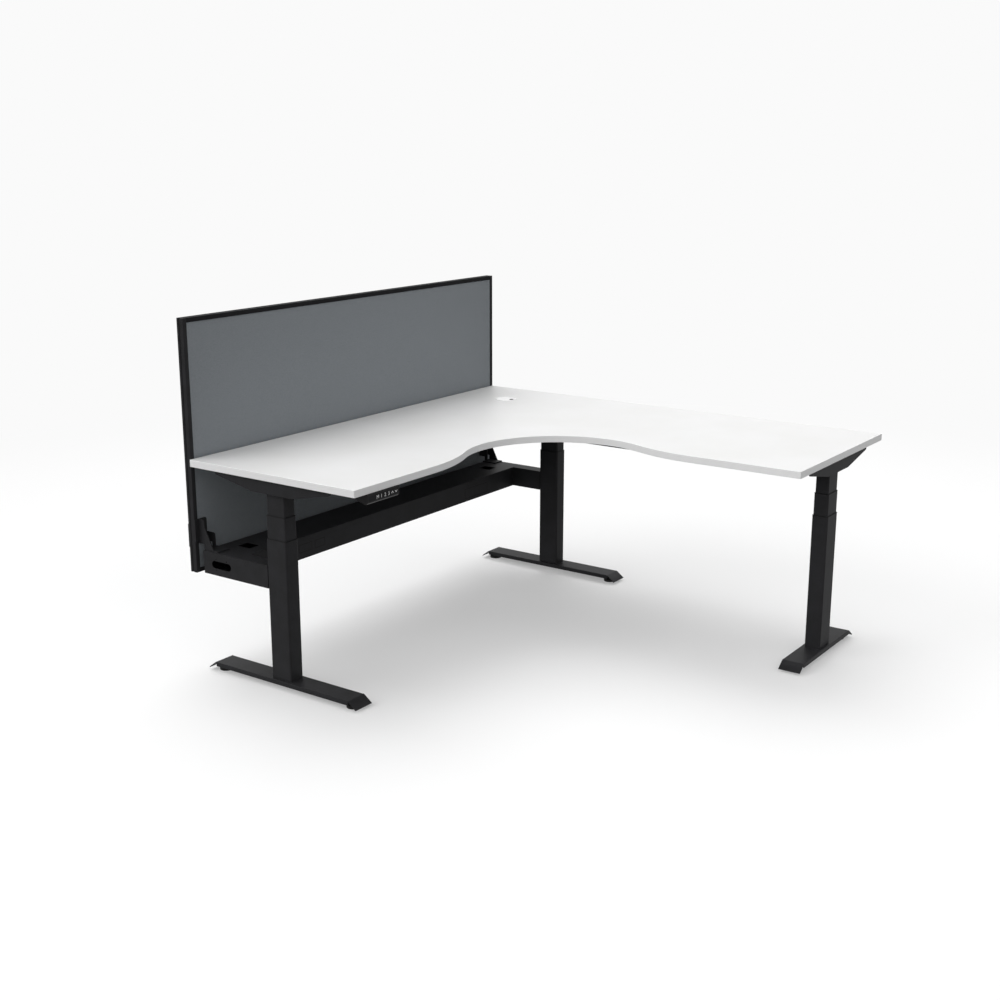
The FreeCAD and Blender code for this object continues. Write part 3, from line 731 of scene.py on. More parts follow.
@dataclass
class Recipe:
    """A geometry-nodes tree with named sizes, run once to leave a plain mesh. Sizes in metres."""

    name: str
    sizes: dict[str, float | int | tuple[float, float, float]]

    def grow(self, tree: Tree, given: Node) -> Node:
        """Add the nodes of this recipe to its tree and return the one that gives the geometry."""
        raise NotImplementedError

    def tree(self, finish: Finish) -> Tree:
        """Build the tree.

        Args:
            finish: the finish that it sets.

        Returns:
            The node group.
        """
        kinds = {int: "NodeSocketInt", float: "NodeSocketFloat", tuple: "NodeSocketVector"}
        tree = bpy.data.node_groups.new(self.name, "GeometryNodeTree")
        tree.interface.new_socket("Points", in_out="INPUT", socket_type="NodeSocketGeometry")
        for name, value in self.sizes.items():
            tree.interface.new_socket(name, in_out="INPUT", socket_type=kinds[type(value)])
        tree.interface.new_socket("Mesh", in_out="OUTPUT", socket_type="NodeSocketGeometry")
        grown = self.grow(tree, add(tree, "NodeGroupInput"))
        real = add(tree, "GeometryNodeRealizeInstances", {"Geometry": grown})
        dressed = add(tree, "GeometryNodeSetMaterial", {"Geometry": real, "Material": finish.material()})
        add(tree, "NodeGroupOutput", {0: dressed})
        return tree

    def run(self, points: Sequence[Vector], finish: Finish) -> Mesh:
        """Run the recipe on a set of points.

        Args:
            points: where its shape is set.
            finish: the finish that it gets.

        Returns:
            One plain mesh.
        """
        seeds = bpy.data.meshes.new(self.name)
        seeds.from_pydata(points, [], [])
        tree = self.tree(finish)
        sockets = [item for item in tree.interface.items_tree if item.name in self.sizes]
        inputs = {item.identifier: self.sizes[item.name] for item in sockets}
        return finished(seeds, "NODES", inputs, node_group=tree)


@dataclass
class SocketBolts(Recipe):
    """Domed bolts with a hexagon socket. Each point is the seat of a head, which looks along Axis."""

    dome_rings: int = 8
    dome_sides: int = 28
    dome_end: float = 0.8
    dome_power: float = 3.0
    shank_sides: int = 20

    def grow(self, tree: Tree, given: Node) -> Node:
        """Turn a dome, sink the socket, add the shank and set one on every point.

        Args:
            tree: the node group.
            given: its input node.

        Returns:
            The node that gives the bolts.
        """
        size = given.outputs
        high = add(tree, "ShaderNodeCombineXYZ", {"Z": size["Head Height"]})
        line = add(tree, "GeometryNodeCurvePrimitiveLine", {"End": high})
        line = add(tree, "GeometryNodeResampleCurve", {"Curve": line, "Count": self.dome_rings})
        along = add(tree, "GeometryNodeSplineParameter").outputs["Factor"]
        share = add(tree, "ShaderNodeMath", {0: along, 1: self.dome_end}, operation="MULTIPLY")
        fall = add(tree, "ShaderNodeMath", {0: share, 1: self.dome_power}, operation="POWER")
        rest = add(tree, "ShaderNodeMath", {0: 1.0, 1: fall}, operation="SUBTRACT")
        width = add(tree, "ShaderNodeMath", {0: rest, 1: size["Head Radius"]}, operation="MULTIPLY")
        ring = add(tree, "GeometryNodeCurvePrimitiveCircle", {"Resolution": self.dome_sides, "Radius": 1.0})
        dome = add(tree, "GeometryNodeCurveToMesh", {
            "Curve": line, "Profile Curve": ring, "Scale": width, "Fill Caps": True})
        hexagon = add(tree, "GeometryNodeMeshCylinder", {
            "Vertices": 6, "Radius": size["Socket Radius"], "Depth": size["Head Height"]})
        hexagon = add(tree, "GeometryNodeTransform", {"Geometry": hexagon, "Translation": high})
        cut = {"Mesh 1": dome, "Mesh 2": hexagon}
        head = add(tree, "GeometryNodeMeshBoolean", cut, operation="DIFFERENCE")
        shank = add(tree, "GeometryNodeMeshCylinder", {
            "Vertices": self.shank_sides, "Radius": size["Shank Radius"], "Depth": size["Shank Length"]})
        half = add(tree, "ShaderNodeMath", {0: size["Shank Length"], 1: -0.5}, operation="MULTIPLY")
        down = add(tree, "ShaderNodeCombineXYZ", {"Z": half})
        shank = add(tree, "GeometryNodeTransform", {"Geometry": shank, "Translation": down})
        bolt = add(tree, "GeometryNodeJoinGeometry", {0: [head, shank]})
        way = add(tree, "FunctionNodeAlignRotationToVector", {"Vector": size["Axis"]}, axis="Z")
        placed = {"Points": size["Points"], "Instance": bolt, "Rotation": way}
        return add(tree, "GeometryNodeInstanceOnPoints", placed)


@dataclass
class RadialRibs(Recipe):
    """A ring of bars round each point, like the spokes of a wheel."""

    def grow(self, tree: Tree, given: Node) -> Node:
        """Set bars on a circle, turned outwards.

        Args:
            tree: the node group.
            given: its input node.

        Returns:
            The node that gives the ribs.
        """
        size = given.outputs
        bar = add(tree, "ShaderNodeCombineXYZ", {
            "X": size["Rib Length"], "Y": size["Rib Width"], "Z": size["Rib Height"]})
        rib = add(tree, "GeometryNodeMeshCube", {"Size": bar})
        ring = add(tree, "GeometryNodeMeshCircle", {"Vertices": size["Ribs"], "Radius": size["Ring Radius"]})
        spot = add(tree, "GeometryNodeInputPosition")
        way = add(tree, "FunctionNodeAlignRotationToVector", {"Vector": spot}, axis="X")
        ribs = add(tree, "GeometryNodeInstanceOnPoints", {"Points": ring, "Instance": rib, "Rotation": way})
        return add(tree, "GeometryNodeInstanceOnPoints", {"Points": size["Points"], "Instance": ribs})


@dataclass
class ScrewThread(Recipe):
    """A screw that hangs down from each point: a core with a raised thread."""

    turn_steps: int = 20
    core_sides: int = 20
    ridge_sides: int = 4

    def grow(self, tree: Tree, given: Node) -> Node:
        """Wind a four-sided ridge round a core.

        Args:
            tree: the node group.
            given: its input node.

        Returns:
            The node that gives the screws.
        """
        size = given.outputs
        long, core_r = size["Length"], size["Core Radius"]
        turns = add(tree, "ShaderNodeMath", {0: long, 1: size["Pitch"]}, operation="DIVIDE")
        wind = add(tree, "GeometryNodeCurveSpiral", {
            "Resolution": self.turn_steps, "Rotations": turns, "Height": long, "Start Radius": core_r,
            "End Radius": core_r})
        ridge = add(tree, "GeometryNodeCurvePrimitiveCircle", {
            "Resolution": self.ridge_sides, "Radius": size["Thread Depth"]})
        thread = add(tree, "GeometryNodeCurveToMesh", {
            "Curve": wind, "Profile Curve": ridge, "Fill Caps": True})
        core = add(tree, "GeometryNodeMeshCylinder", {
            "Vertices": self.core_sides, "Radius": core_r, "Depth": long})
        half = add(tree, "ShaderNodeMath", {0: long, 1: 0.5}, operation="MULTIPLY")
        lift = add(tree, "ShaderNodeCombineXYZ", {"Z": half})
        core = add(tree, "GeometryNodeTransform", {"Geometry": core, "Translation": lift})
        screw = add(tree, "GeometryNodeJoinGeometry", {0: [thread, core]})
        drop = add(tree, "ShaderNodeMath", {0: long, 1: -1.0}, operation="MULTIPLY")
        down = add(tree, "ShaderNodeCombineXYZ", {"Z": drop})
        hung = add(tree, "GeometryNodeTransform", {"Geometry": screw, "Translation": down})
        return add(tree, "GeometryNodeInstanceOnPoints", {"Points": size["Points"], "Instance": hung})


@dataclass
class RibRow(Recipe):
    """Rows of low bars over each point, as on a vented cover."""

    def grow(self, tree: Tree, given: Node) -> Node:
        """Set bars on a grid.

        Args:
            tree: the node group.
            given: its input node.

        Returns:
            The node that gives the bars.
        """
        size = given.outputs
        bar = add(tree, "ShaderNodeCombineXYZ", {
            "X": size["Bar Width"], "Y": size["Bar Length"], "Z": size["Bar Height"]})
        rib = add(tree, "GeometryNodeMeshCube", {"Size": bar})
        grid = add(tree, "GeometryNodeMeshGrid", {
            "Size X": size["Field Length"], "Size Y": size["Field Width"], "Vertices X": size["Columns"],
            "Vertices Y": size["Rows"]})
        bars = add(tree, "GeometryNodeInstanceOnPoints", {"Points": grid, "Instance": rib})
        return add(tree, "GeometryNodeInstanceOnPoints", {"Points": size["Points"], "Instance": bars})


# Sub-assemblies, with sizes in millimetres

@dataclass
class DeskTop:
    """The board with its S-curved front edge, and the strip round it."""

    length: float = 1800.0
    depth: float = 750.0
    inner_r: float = 340.0
    outer_r: float = 600.0
    diagonal: float = 1096.0
    arc_steps: int = 48
    corner_r: float = 2.0
    least_r: float = 0.4
    corner_steps: int = 4
    strip: float = 2.0
    ease: float = 1.0
    ease_steps: int = 4
    grommet_hole: float = 80.0
    hole_steps: int = 64
    smooth_deg: float = 30.0

    def outline(self, inset: float) -> Flat:
        """Draw the outline, moved inwards.

        Args:
            inset: how far inwards.

        Returns:
            Points from the back corner of the board.
        """
        apart = self.inner_r + self.outer_r
        middle = (self.diagonal + self.inner_r) / math.sqrt(2)
        turn = math.acos(1 - (self.depth - middle + self.inner_r) / apart)
        start = -middle - apart * math.sin(turn)
        big = self.outer_r - inset
        small = self.inner_r + inset
        steps = self.arc_steps
        first = []
        for i in range(steps + 1):
            a = turn * i / steps
            first.append((start + big * math.sin(a), -self.depth + self.outer_r - big * math.cos(a)))
        inner = []
        for i in range(1, 2 * steps):
            a = -turn + (QUARTER + 2 * turn) * i / (2 * steps)
            inner.append((-middle + small * math.sin(a), -middle + small * math.cos(a)))
        last = [(y, x) for x, y in reversed(first)]
        far = inset - self.length
        deep = inset - self.depth
        corners = [(deep, far), (-inset, far), (-inset, -inset), (far, -inset), (far, deep)]
        radius = max(self.corner_r - inset, self.least_r)
        return first + inner + last + self.rounded([last[-1], *corners, first[0]], radius)

    def rounded(self, line: Flat, radius: float) -> Flat:
        """Round the square corners of a line.

        Args:
            line: its points, of which the two ends only lead in and out.
            radius: radius of the corners.

        Returns:
            The points of the corner arcs.
        """
        arcs = []
        for before, at, after in zip(line, line[1:], line[2:]):
            corner = Vector(at)
            a = (Vector(before) - corner).normalized()
            b = (Vector(after) - corner).normalized()
            centre = corner + (a + b) * radius
            for i in range(self.corner_steps + 1):
                angle = QUARTER * i / self.corner_steps
                way = -(b * math.cos(angle) + a * math.sin(angle))
                arcs.append(tuple(centre + way * radius))
        return arcs

    def ring(self, inset: float, z: float) -> Ring:
        """Place the outline, moved inwards, at a height in metres."""
        return lying(self.outline(inset), span_of("edge_band")[1], z)

    def build(self) -> None:
        """Make the strip with its eased edges, and the board inside it."""
        lo, hi, _ = span_of("edge_band")
        edge = []
        for i in range(self.ease_steps + 1):
            a = QUARTER * i / self.ease_steps
            edge.append((self.ease * (1 - math.sin(a)), self.ease * (1 - math.cos(a)) * MM))
        rings = [self.ring(inset, lo.z + rise) for inset, rise in edge]
        rings += [self.ring(inset, hi.z - rise) for inset, rise in reversed(edge)]
        rings += [self.ring(self.strip, hi.z), self.ring(self.strip, lo.z)]
        show(loft(rings, closed=True), "edge_strip", WHITE_EDGE, "top", ["edge_band"], self.smooth_deg)
        self.board(lo.z, hi.z)

    def board(self, low: float, high: float) -> None:
        """Make the board inside the strip, with its grommet hole.

        Args:
            low: underside, in metres.
            high: top face, in metres.
        """
        _, _, middle = span_of("grommet_sleeve")
        hole = circle(self.grommet_hole / 2, self.hole_steps)
        work = bmesh.new()
        rims = []
        for z in (low, high):
            rings = (self.ring(self.strip, z), lying(hole, middle, z))
            rim = [[work.verts.new(p) for p in ring] for ring in rings]
            edges = [work.edges.new(pair) for loop in rim for pair in zip(loop, loop[1:] + loop[:1])]
            bmesh.ops.triangle_fill(work, edges=edges, use_beauty=True)
            rims.append(rim)
        for below, above in zip(*rims):
            skin(work, below, above)
        show(to_mesh(work), "board", WHITE_TOP, "top", ["desk_top"], self.smooth_deg)


@dataclass
class Grommet:
    """The white cable outlet with its turning cap, a lip in the cap's notch and a brush."""

    ease: float = 0.5
    notch_r: float = 9.0
    notch_in: float = 5.5
    cap_thick: float = 3.0
    rim_room: float = 0.6
    lip_inner: float = 0.8
    lip_outer: float = 1.8
    lip_wall: float = 0.4
    lip_proud: float = 0.5
    lip_sunk: float = 0.3
    lip_ease: float = 0.3
    lip_slope: float = 0.4
    lip_steps: int = 28
    bristles: int = 140
    bristle_l: float = 25.0
    bristle_w: float = 0.45
    bristle_h: float = 1.2
    brush_r: float = 36.0
    brush_drop: float = 9.0

    def build(self) -> None:
        """Finish the sleeve and the cap, line the notch and set the brush."""
        for node in ("grommet_sleeve", "grommet_cap"):
            dress(node, WHITE_ABS, self.ease)
        self.lip()
        self.brush()

    def lip(self) -> None:
        """Line the cap's notch with a dark lip that keeps a cable from chafing. The notch stays open."""
        _, _, middle = span_of("grommet_sleeve")
        cap_lo, cap_hi, _ = span_of("grommet_cap")
        cap_r = (cap_hi.x - cap_lo.x) / 2 / MM
        away = cap_r - self.notch_in
        centre = Vector((middle.x, middle.y - away * MM, cap_hi.z))
        inner = self.notch_r - self.lip_inner
        wall = self.notch_r + self.lip_wall
        outer = self.notch_r + self.lip_outer
        rim = cap_r - self.rim_room
        reach = math.acos((away ** 2 + outer ** 2 - rim ** 2) / (2 * away * outer))
        up = self.lip_proud
        side = up - self.lip_ease
        foot, seat = -self.cap_thick, -self.lip_sunk
        profile = [(inner, foot), (inner, side), (inner + self.lip_ease, up), (outer - self.lip_slope, up),
                   (outer, side), (outer, seat), (wall, seat), (wall, foot)]
        rings = []
        for i in range(self.lip_steps + 1):
            a = reach * (2 * i / self.lip_steps - 1)
            rings.append([centre + Vector((r * math.sin(a), r * math.cos(a), z)) * MM for r, z in profile])
        show(loft(rings), "grommet_lip", BLACK_NYLON, "grommet_turn")

    def brush(self) -> None:
        """Set a ring of dark bristles in the sleeve, as a dust seal that gives way to a cable."""
        _, hi, middle = span_of("grommet_sleeve")
        middle.z = hi.z - self.brush_drop * MM
        recipe = RadialRibs("brush_bristles", {
            "Ribs": self.bristles, "Ring Radius": (self.brush_r - self.bristle_l / 2) * MM,
            "Rib Length": self.bristle_l * MM, "Rib Width": self.bristle_w * MM,
            "Rib Height": self.bristle_h * MM})
        show(recipe.run([middle], BLACK_NYLON), "grommet_brush", BLACK_NYLON, "top")


@dataclass
class Column:
    """One telescopic leg."""

    leg: Leg
    wall: float = 2.0
    corner: float = 6.0
    corner_step: float = 1.0
    least_corner: float = 0.8
    mouth_out: float = 0.5
    mouth_mid: float = 0.15
    mouth_in: float = 0.4
    lip_height: float = 1.6
    lip_proud: float = 0.7
    lip_room: float = 0.2
    lip_fall: float = 0.5
    lip_slope: float = 0.4
    foot_ease: float = 1.0
    bracket_ease: float = 0.8

    def build(self) -> None:
        """Make the tubes and their collars, and finish the foot and the bracket."""
        tubes = [f"{self.leg.value}_{stage}_column" for stage in ("outer", "mid", "inner")]
        corners = [self.corner - k * self.corner_step for k in range(len(tubes))]
        for node, corner in zip(tubes, corners):
            self.tube(node, corner)
        for node, inside, corner in zip(tubes, tubes[1:], corners):
            self.collar(node, inside, corner)
        dress(f"{self.leg.value}_foot", BLACK_STEEL, self.foot_ease)
        dress(f"{self.leg.value}_bracket", BLACK_STEEL, self.bracket_ease)

    def tube(self, node: str, corner: float) -> None:
        """Make one tube with smooth corners and an eased mouth.

        Args:
            node: the CAD node that it stands for.
            corner: its corner radius.
        """
        lo, hi, middle = span_of(node)
        size = (hi - lo) / MM
        wall, out, mid, back = self.wall, self.mouth_out, self.mouth_mid, self.mouth_in
        rings = []
        for inset, z in ((0, lo.z), (0, hi.z - out * MM), (mid, hi.z - mid * MM), (out, hi.z),
                         (wall - back, hi.z), (wall, hi.z - back * MM), (wall, lo.z)):
            radius = max(corner - inset, self.least_corner)
            rings.append(lying(rounded_ring(size.x - 2 * inset, size.y - 2 * inset, radius), middle, z))
        show(loft(rings, closed=True), node + "_finished", BLACK_STEEL, body_of(node), [node])

    def collar(self, node: str, inside: str, corner: float) -> None:
        """Set a glide collar on the mouth of a tube.

        Args:
            node: the tube that carries it.
            inside: the tube that runs in it.
            corner: corner radius of the tube that carries it.
        """
        lo, hi, middle = span_of(node)
        inner_lo, inner_hi, _ = span_of(inside)
        out = [v / MM + 2 * self.lip_proud for v in (hi - lo).xy]
        crown = [v - 2 * self.lip_slope for v in out]
        hole = [v / MM + 2 * self.lip_room for v in (inner_hi - inner_lo).xy]
        out_r = corner + self.lip_proud
        hole_r = corner - self.corner_step
        top = self.lip_height
        rings = []
        for size, radius, rise in ((hole, hole_r, 0), (out, out_r, 0), (out, out_r, top - self.lip_fall),
                                   (crown, out_r - self.lip_slope, top), (hole, hole_r, top)):
            rings.append(lying(rounded_ring(*size, radius), middle, hi.z + rise * MM))
        show(loft(rings, closed=True), node + "_collar", BLACK_NYLON, body_of(node))


@dataclass
class Levellers:
    """The six round pads.

    A point of the sole or the shoulder is given by its step from the pad's radius, and by its height from the
    floor or from the pad's top.
    """

    pad_r: float = 25.0
    pad_high: float = 13.0
    sole: tuple[tuple[float, float], ...] = ((-2.2, 0.0), (-0.7, 0.4), (0.0, 1.6))
    shoulder: tuple[tuple[float, float], ...] = ((0.0, -3.2), (-0.5, -2.0), (-1.6, -1.2), (-3.4, -1.0))
    hub_r: float = 10.0
    hub_flare: float = 1.5
    hub_step: float = 1.0
    hub_ease: float = 0.6
    stud_r: float = 5.0
    stud_long: float = 15.3
    stud_ease: float = 0.8
    ribs: int = 12
    rib_w: float = 1.4
    rib_h: float = 1.6
    rim_w: float = 3.0

    def build(self) -> None:
        """Make every pad with its moulded ribs."""
        for leg in Leg:
            for end in End:
                self.pad(f"{leg.value}_{end.value}_leveller")

    def pad(self, node: str) -> None:
        """Make one pad.

        Args:
            node: the CAD node that it stands for.
        """
        lo, hi, centre = span_of(node)
        centre.z = lo.z
        tip = (hi.z - lo.z) / MM
        neck = tip - self.stud_long
        high, hub, stud = self.pad_high, self.hub_r, self.stud_r
        profile = [(self.pad_r + out, z) for out, z in self.sole]
        profile += [(self.pad_r + out, high + z) for out, z in self.shoulder]
        profile += [(hub + self.hub_flare, high - self.hub_step), (hub, high), (hub, neck - self.hub_ease),
                    (hub - self.hub_ease, neck), (stud, neck), (stud, tip - self.stud_ease),
                    (stud - self.stud_ease, tip)]
        body = body_of(node)
        show(lathe(profile, centre), node + "_finished", BLACK_NYLON, body, [node])
        span = self.pad_r - self.rim_w - hub
        recipe = RadialRibs("pad_ribs", {
            "Ribs": self.ribs, "Ring Radius": (hub + span / 2) * MM, "Rib Length": span * MM,
            "Rib Width": self.rib_w * MM, "Rib Height": self.rib_h * MM})
        middle = centre + Vector((0, 0, (high - self.rib_h / 2) * MM))
        show(recipe.run([middle], BLACK_NYLON), node + "_ribs", BLACK_NYLON, body)


@dataclass
class Handset:
    """The control under the front edge. The chevron's points are shares of half a sign's size."""

    case_ease: float = 0.8
    case_segments: int = 3
    key_ease: float = 0.5
    sign_size: float = 13.0
    text_share: float = 1.35
    ink: float = 0.02
    ink_out: float = 0.06
    chevron: tuple[tuple[float, float], ...] = (
        (-1.0, -0.55), (0.0, 0.75), (1.0, -0.55), (0.62, -0.55), (0.0, 0.25), (-0.62, -0.55))
    lens_left: float = 8.0
    lens_right: float = 5.0
    lens_high: float = 17.0
    lens_r: float = 2.0
    lens_edge: tuple[tuple[float, float], ...] = ((0.0, -0.05), (0.0, 0.25), (0.25, 0.4))

    def build(self) -> None:
        """Finish the case and the keys, print the signs and lay the lens."""
        dress("handset_case", CASE_ABS, self.case_ease, self.case_segments)
        for key in Key:
            dress(key.value[0], BLACK_ABS, self.key_ease)
            self.print_sign(key)
        self.lens()

    def print_sign(self, key: Key) -> None:
        """Print one sign on its key.

        Args:
            key: the key.
        """
        node, sign = key.value
        lo, _, middle = span_of(node)
        mesh = self.arrow(key is Key.UP) if key in (Key.UP, Key.DOWN) else self.letter(sign)
        place = Matrix.Translation((middle.x, lo.y - self.ink_out * MM, middle.z))
        mesh.transform(place @ Matrix.Rotation(QUARTER, 4, "X"))
        show(mesh, node + "_sign", KEY_INK, body_of(node))

    def letter(self, sign: str) -> Mesh:
        """Make a flat letter or number, centred, in the XY plane.

        Args:
            sign: the letter or number.

        Returns:
            The mesh.
        """
        text = bpy.data.curves.new("sign", "FONT")
        text.body = sign
        text.size = self.sign_size * self.text_share * MM
        text.align_x = "CENTER"
        text.align_y = "CENTER"
        text.extrude = self.ink * MM
        mesh = finished(text)
        middle = [-(min(row) + max(row)) / 2 for row in zip(*(v.co.xy for v in mesh.vertices))]
        mesh.transform(Matrix.Translation((*middle, 0)))
        return mesh

    def arrow(self, up: bool) -> Mesh:
        """Make a flat chevron, centred, in the XY plane.

        Args:
            up: whether it points up.

        Returns:
            The mesh.
        """
        half = self.sign_size * MM / 2
        turn = half if up else -half
        work = bmesh.new()
        loops = []
        for z in (-self.ink * MM, self.ink * MM):
            loops.append([work.verts.new((half * x, turn * y, z)) for x, y in self.chevron])
        skin(work, *loops)
        for loop in loops:
            work.faces.new((loop[0], loop[1], loop[4], loop[5]))
            work.faces.new((loop[1], loop[2], loop[3], loop[4]))
        return to_mesh(work)

    def lens(self) -> None:
        """Lay the display's lens on the blank end of the case."""
        lo, _, _ = span_of("handset_case")
        key_lo, _, key_middle = span_of(Key.MEMORY.value[0])
        x0 = lo.x + self.lens_left * MM
        x1 = key_lo.x - self.lens_right * MM
        middle = Vector(((x0 + x1) / 2, lo.y, key_middle.z))
        wide = (x1 - x0) / MM
        rings = []
        for inset, out in self.lens_edge:
            ring = rounded_ring(wide - 2 * inset, self.lens_high - 2 * inset, self.lens_r - inset)
            rings.append(facing(ring, middle, out))
        show(loft(rings), "handset_lens", DISPLAY, "top")


@dataclass(frozen=True)
class Outlet:
    """A blanked outlet on the front of the duct, and its place from one end and from below."""

    side: Side
    inset: float
    length: float
    rise: float
    height: float


@dataclass
class CableDuct:
    """The trough with its outlets, its deck and its two arms."""

    ease: float = 0.6
    fine_ease: float = 0.3
    end_in: float = 28.0
    seal_w: float = 3.0
    seal_r: float = 0.6
    seal_corner_steps: int = 3
    seal_sunk: float = 0.5
    seal_proud: float = 0.2
    outlets: tuple[Outlet, ...] = (
        Outlet(Side.LEFT, 272.0, 71.0, 24.0, 32.0),
        Outlet(Side.LEFT, 358.0, 55.0, 24.0, 32.0),
        Outlet(Side.RIGHT, 225.0, 161.0, 12.0, 44.0),
    )

    def build(self) -> None:
        """Lay the seals and finish the sheet-metal pieces."""
        for number, outlet in enumerate(self.outlets, 1):
            self.seal(f"outlet_seal_{number}", outlet)
        dress("duct_trough", BLACK_STEEL, self.fine_ease)
        for node in ("duct_deck", "left_arm", "right_arm"):
            dress(node, BLACK_STEEL, self.ease)

    def seal(self, name: str, outlet: Outlet) -> None:
        """Lay a dark seal round a blanked outlet on the front of the trough.

        Args:
            name: the piece's name.
            outlet: the outlet.
        """
        lo, hi, _ = span_of("duct_trough")
        inwards = outlet.side.value
        end = lo.x if outlet.side is Side.LEFT else hi.x
        x = end + inwards * (self.end_in + outlet.inset + outlet.length / 2) * MM
        middle = Vector((x, lo.y, lo.z + (outlet.rise + outlet.height / 2) * MM))
        wide, proud, sunk = self.seal_w, self.seal_proud, -self.seal_sunk
        rings = []
        for inset, out in ((0, sunk), (0, proud / 2), (proud, proud),
                           (wide - proud, proud), (wide, proud / 2), (wide, sunk)):
            size = (outlet.length - 2 * inset, outlet.height - 2 * inset)
            rings.append(facing(rounded_ring(*size, self.seal_r, self.seal_corner_steps), middle, out))
        show(loft(rings, closed=True), name, BLACK_NYLON, body_of("duct_trough"))


@dataclass
class Screen:
    """The framed fabric screen with its brackets."""

    ease: float = 0.8
    cloth_ease: float = 0.4
    bracket_ease: float = 0.6

    def build(self) -> None:
        """Finish the frame, the cloth and the brackets."""
        # The posts take the lighter copy of the black coat as painted light, the rails the darker copy as
        # painted shade
        for node in ("screen_left_post", "screen_right_post"):
            dress(node, BLACK_POST_PAINTED_LIGHT, self.ease)
        for node in ("screen_top_rail", "screen_bottom_rail"):
            dress(node, BLACK_RAIL_PAINTED_SHADE, self.ease)
        coat("screen_board", FIBRE_BOARD)
        for node in ("screen_front_fabric", "screen_back_fabric"):
            cloth = dress(node, GREY_CLOTH, self.cloth_ease)
            lo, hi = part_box(node)
        for node in ("left_screen_bracket", "right_screen_bracket", "screen_back_plates"):
            dress(node, BLACK_STEEL, self.bracket_ease)


@dataclass
class UnderFrame:
    """Rails, motors, spindles and the control box below the board."""

    ease: float = 0.8
    vent_w: float = 2.2
    vent_l: float = 32.0
    vent_h: float = 1.6
    vent_share: float = 0.7
    vent_apart: float = 42.0
    vent_columns: int = 30
    vent_rows: int = 2
    pitch: float = 4.0
    thread: float = 0.9
    journal: float = 30.0
    journal_r: float = 6.0
    journal_ease: float = 0.8
    journal_sides: int = 24

    def build(self) -> None:
        """Finish what hangs under the board and inside the legs."""
        for node in ("first_wing_rails", "second_wing_rails"):
            dress(node, BLACK_STEEL, self.ease)
        dress("control_box", BLACK_ABS, self.ease)
        self.vents()
        for leg in Leg:
            dress(f"{leg.value}_motor", BLACK_ABS, self.ease)
            self.spindle(f"{leg.value}_spindle")

    def vents(self) -> None:
        """Raise rows of ribs on the underside of the control box."""
        lo, hi, middle = span_of("control_box")
        middle.z = lo.z
        recipe = RibRow("vent_ribs", {
            "Bar Width": self.vent_w * MM, "Bar Length": self.vent_l * MM, "Bar Height": self.vent_h * MM,
            "Field Length": self.vent_share * (hi.x - lo.x), "Field Width": self.vent_apart * MM,
            "Columns": self.vent_columns, "Rows": self.vent_rows})
        show(recipe.run([middle], BLACK_ABS), "control_box_vents", BLACK_ABS, "top")

    def spindle(self, node: str) -> None:
        """Wind the thread of one drive spindle and turn its journal.

        Args:
            node: the CAD node that it stands for.
        """
        lo, hi, top = span_of(node)
        top.z = hi.z - self.journal * MM
        depth = self.thread * MM
        recipe = ScrewThread("spindle_thread", {
            "Length": top.z - lo.z, "Pitch": self.pitch * MM, "Core Radius": (hi.x - lo.x) / 2 - depth,
            "Thread Depth": depth})
        show(recipe.run([top], ZINC), node + "_finished", ZINC, body_of(node), [node])
        long, radius, ease = self.journal, self.journal_r, self.journal_ease
        profile = [(radius - ease, 0), (radius, ease), (radius, long - ease), (radius - ease, long)]
        show(lathe(profile, top, self.journal_sides), node + "_journal", ZINC, body_of(node))


@dataclass(frozen=True)
class BoltSet:
    """One CAD node of equal bolts: which way the heads look, their size and their finish."""

    node: str
    way: Way
    head: float
    shank: float
    finish: Finish
    socket_share: float = 0.38
    smooth_deg: float = 50.0

    def build(self) -> None:
        """Make all bolts of the set in one run."""
        way = Vector(self.way.value)
        boxes = islands(self.node)
        size = boxes[0][1] - boxes[0][0]
        long = abs(size.dot(way))
        radius = max(size[k] for k in range(3) if not way[k]) / 2
        head = self.head * MM
        seats = [(lo + hi) / 2 + way * (long / 2 - head) for lo, hi in boxes]
        recipe = SocketBolts(self.node + "_recipe", {
            "Head Radius": radius, "Head Height": head, "Shank Radius": self.shank / 2 * MM,
            "Shank Length": long - head, "Socket Radius": self.socket_share * radius, "Axis": self.way.value})
        bolts = recipe.run(seats, self.finish)
        show(bolts, self.node + "_finished", self.finish, body_of(self.node), [self.node], self.smooth_deg)


@dataclass
class Fasteners:
    """Bolts and screws."""

    sets: tuple[BoltSet, ...] = (
        BoltSet("base_foot_bolts", Way.DOWN, 4.5, 8.0, ZINC),
        BoltSet("right_foot_bolts", Way.DOWN, 4.5, 8.0, ZINC),
        BoltSet("top_screws", Way.DOWN, 3.0, 4.6, ZINC),
        BoltSet("arm_bolts", Way.BACK, 3.5, 6.0, DARK_BOLT),
        BoltSet("clamp_bolts", Way.FRONT, 3.5, 6.0, DARK_BOLT),
    )

    def build(self) -> None:
        """Make every set."""
        for group in self.sets:
            group.build()


# Studio, with lengths in metres

@dataclass(frozen=True)
class SoftLight:
    """A broad, distant light. Bearing from +X towards +Y, height and width in degrees."""

    name: str
    bearing: float
    height: float
    width: float
    power: float
    away: float = 5.0

    def hang(self) -> None:
        """Put the light into the scene."""
        turn = math.radians(self.bearing)
        rise = math.radians(self.height)
        way = Vector((math.cos(rise) * math.cos(turn), math.cos(rise) * math.sin(turn), math.sin(rise)))
        data = bpy.data.lights.new(self.name, "SUN")
        data.angle = math.radians(self.width)
        data.energy = self.power
        lamp = bpy.data.objects.new(self.name, data)
        lamp.location = way * self.away
        lamp.rotation_euler = way.to_track_quat("Z", "Y").to_euler()
        bpy.context.scene.collection.objects.link(lamp)


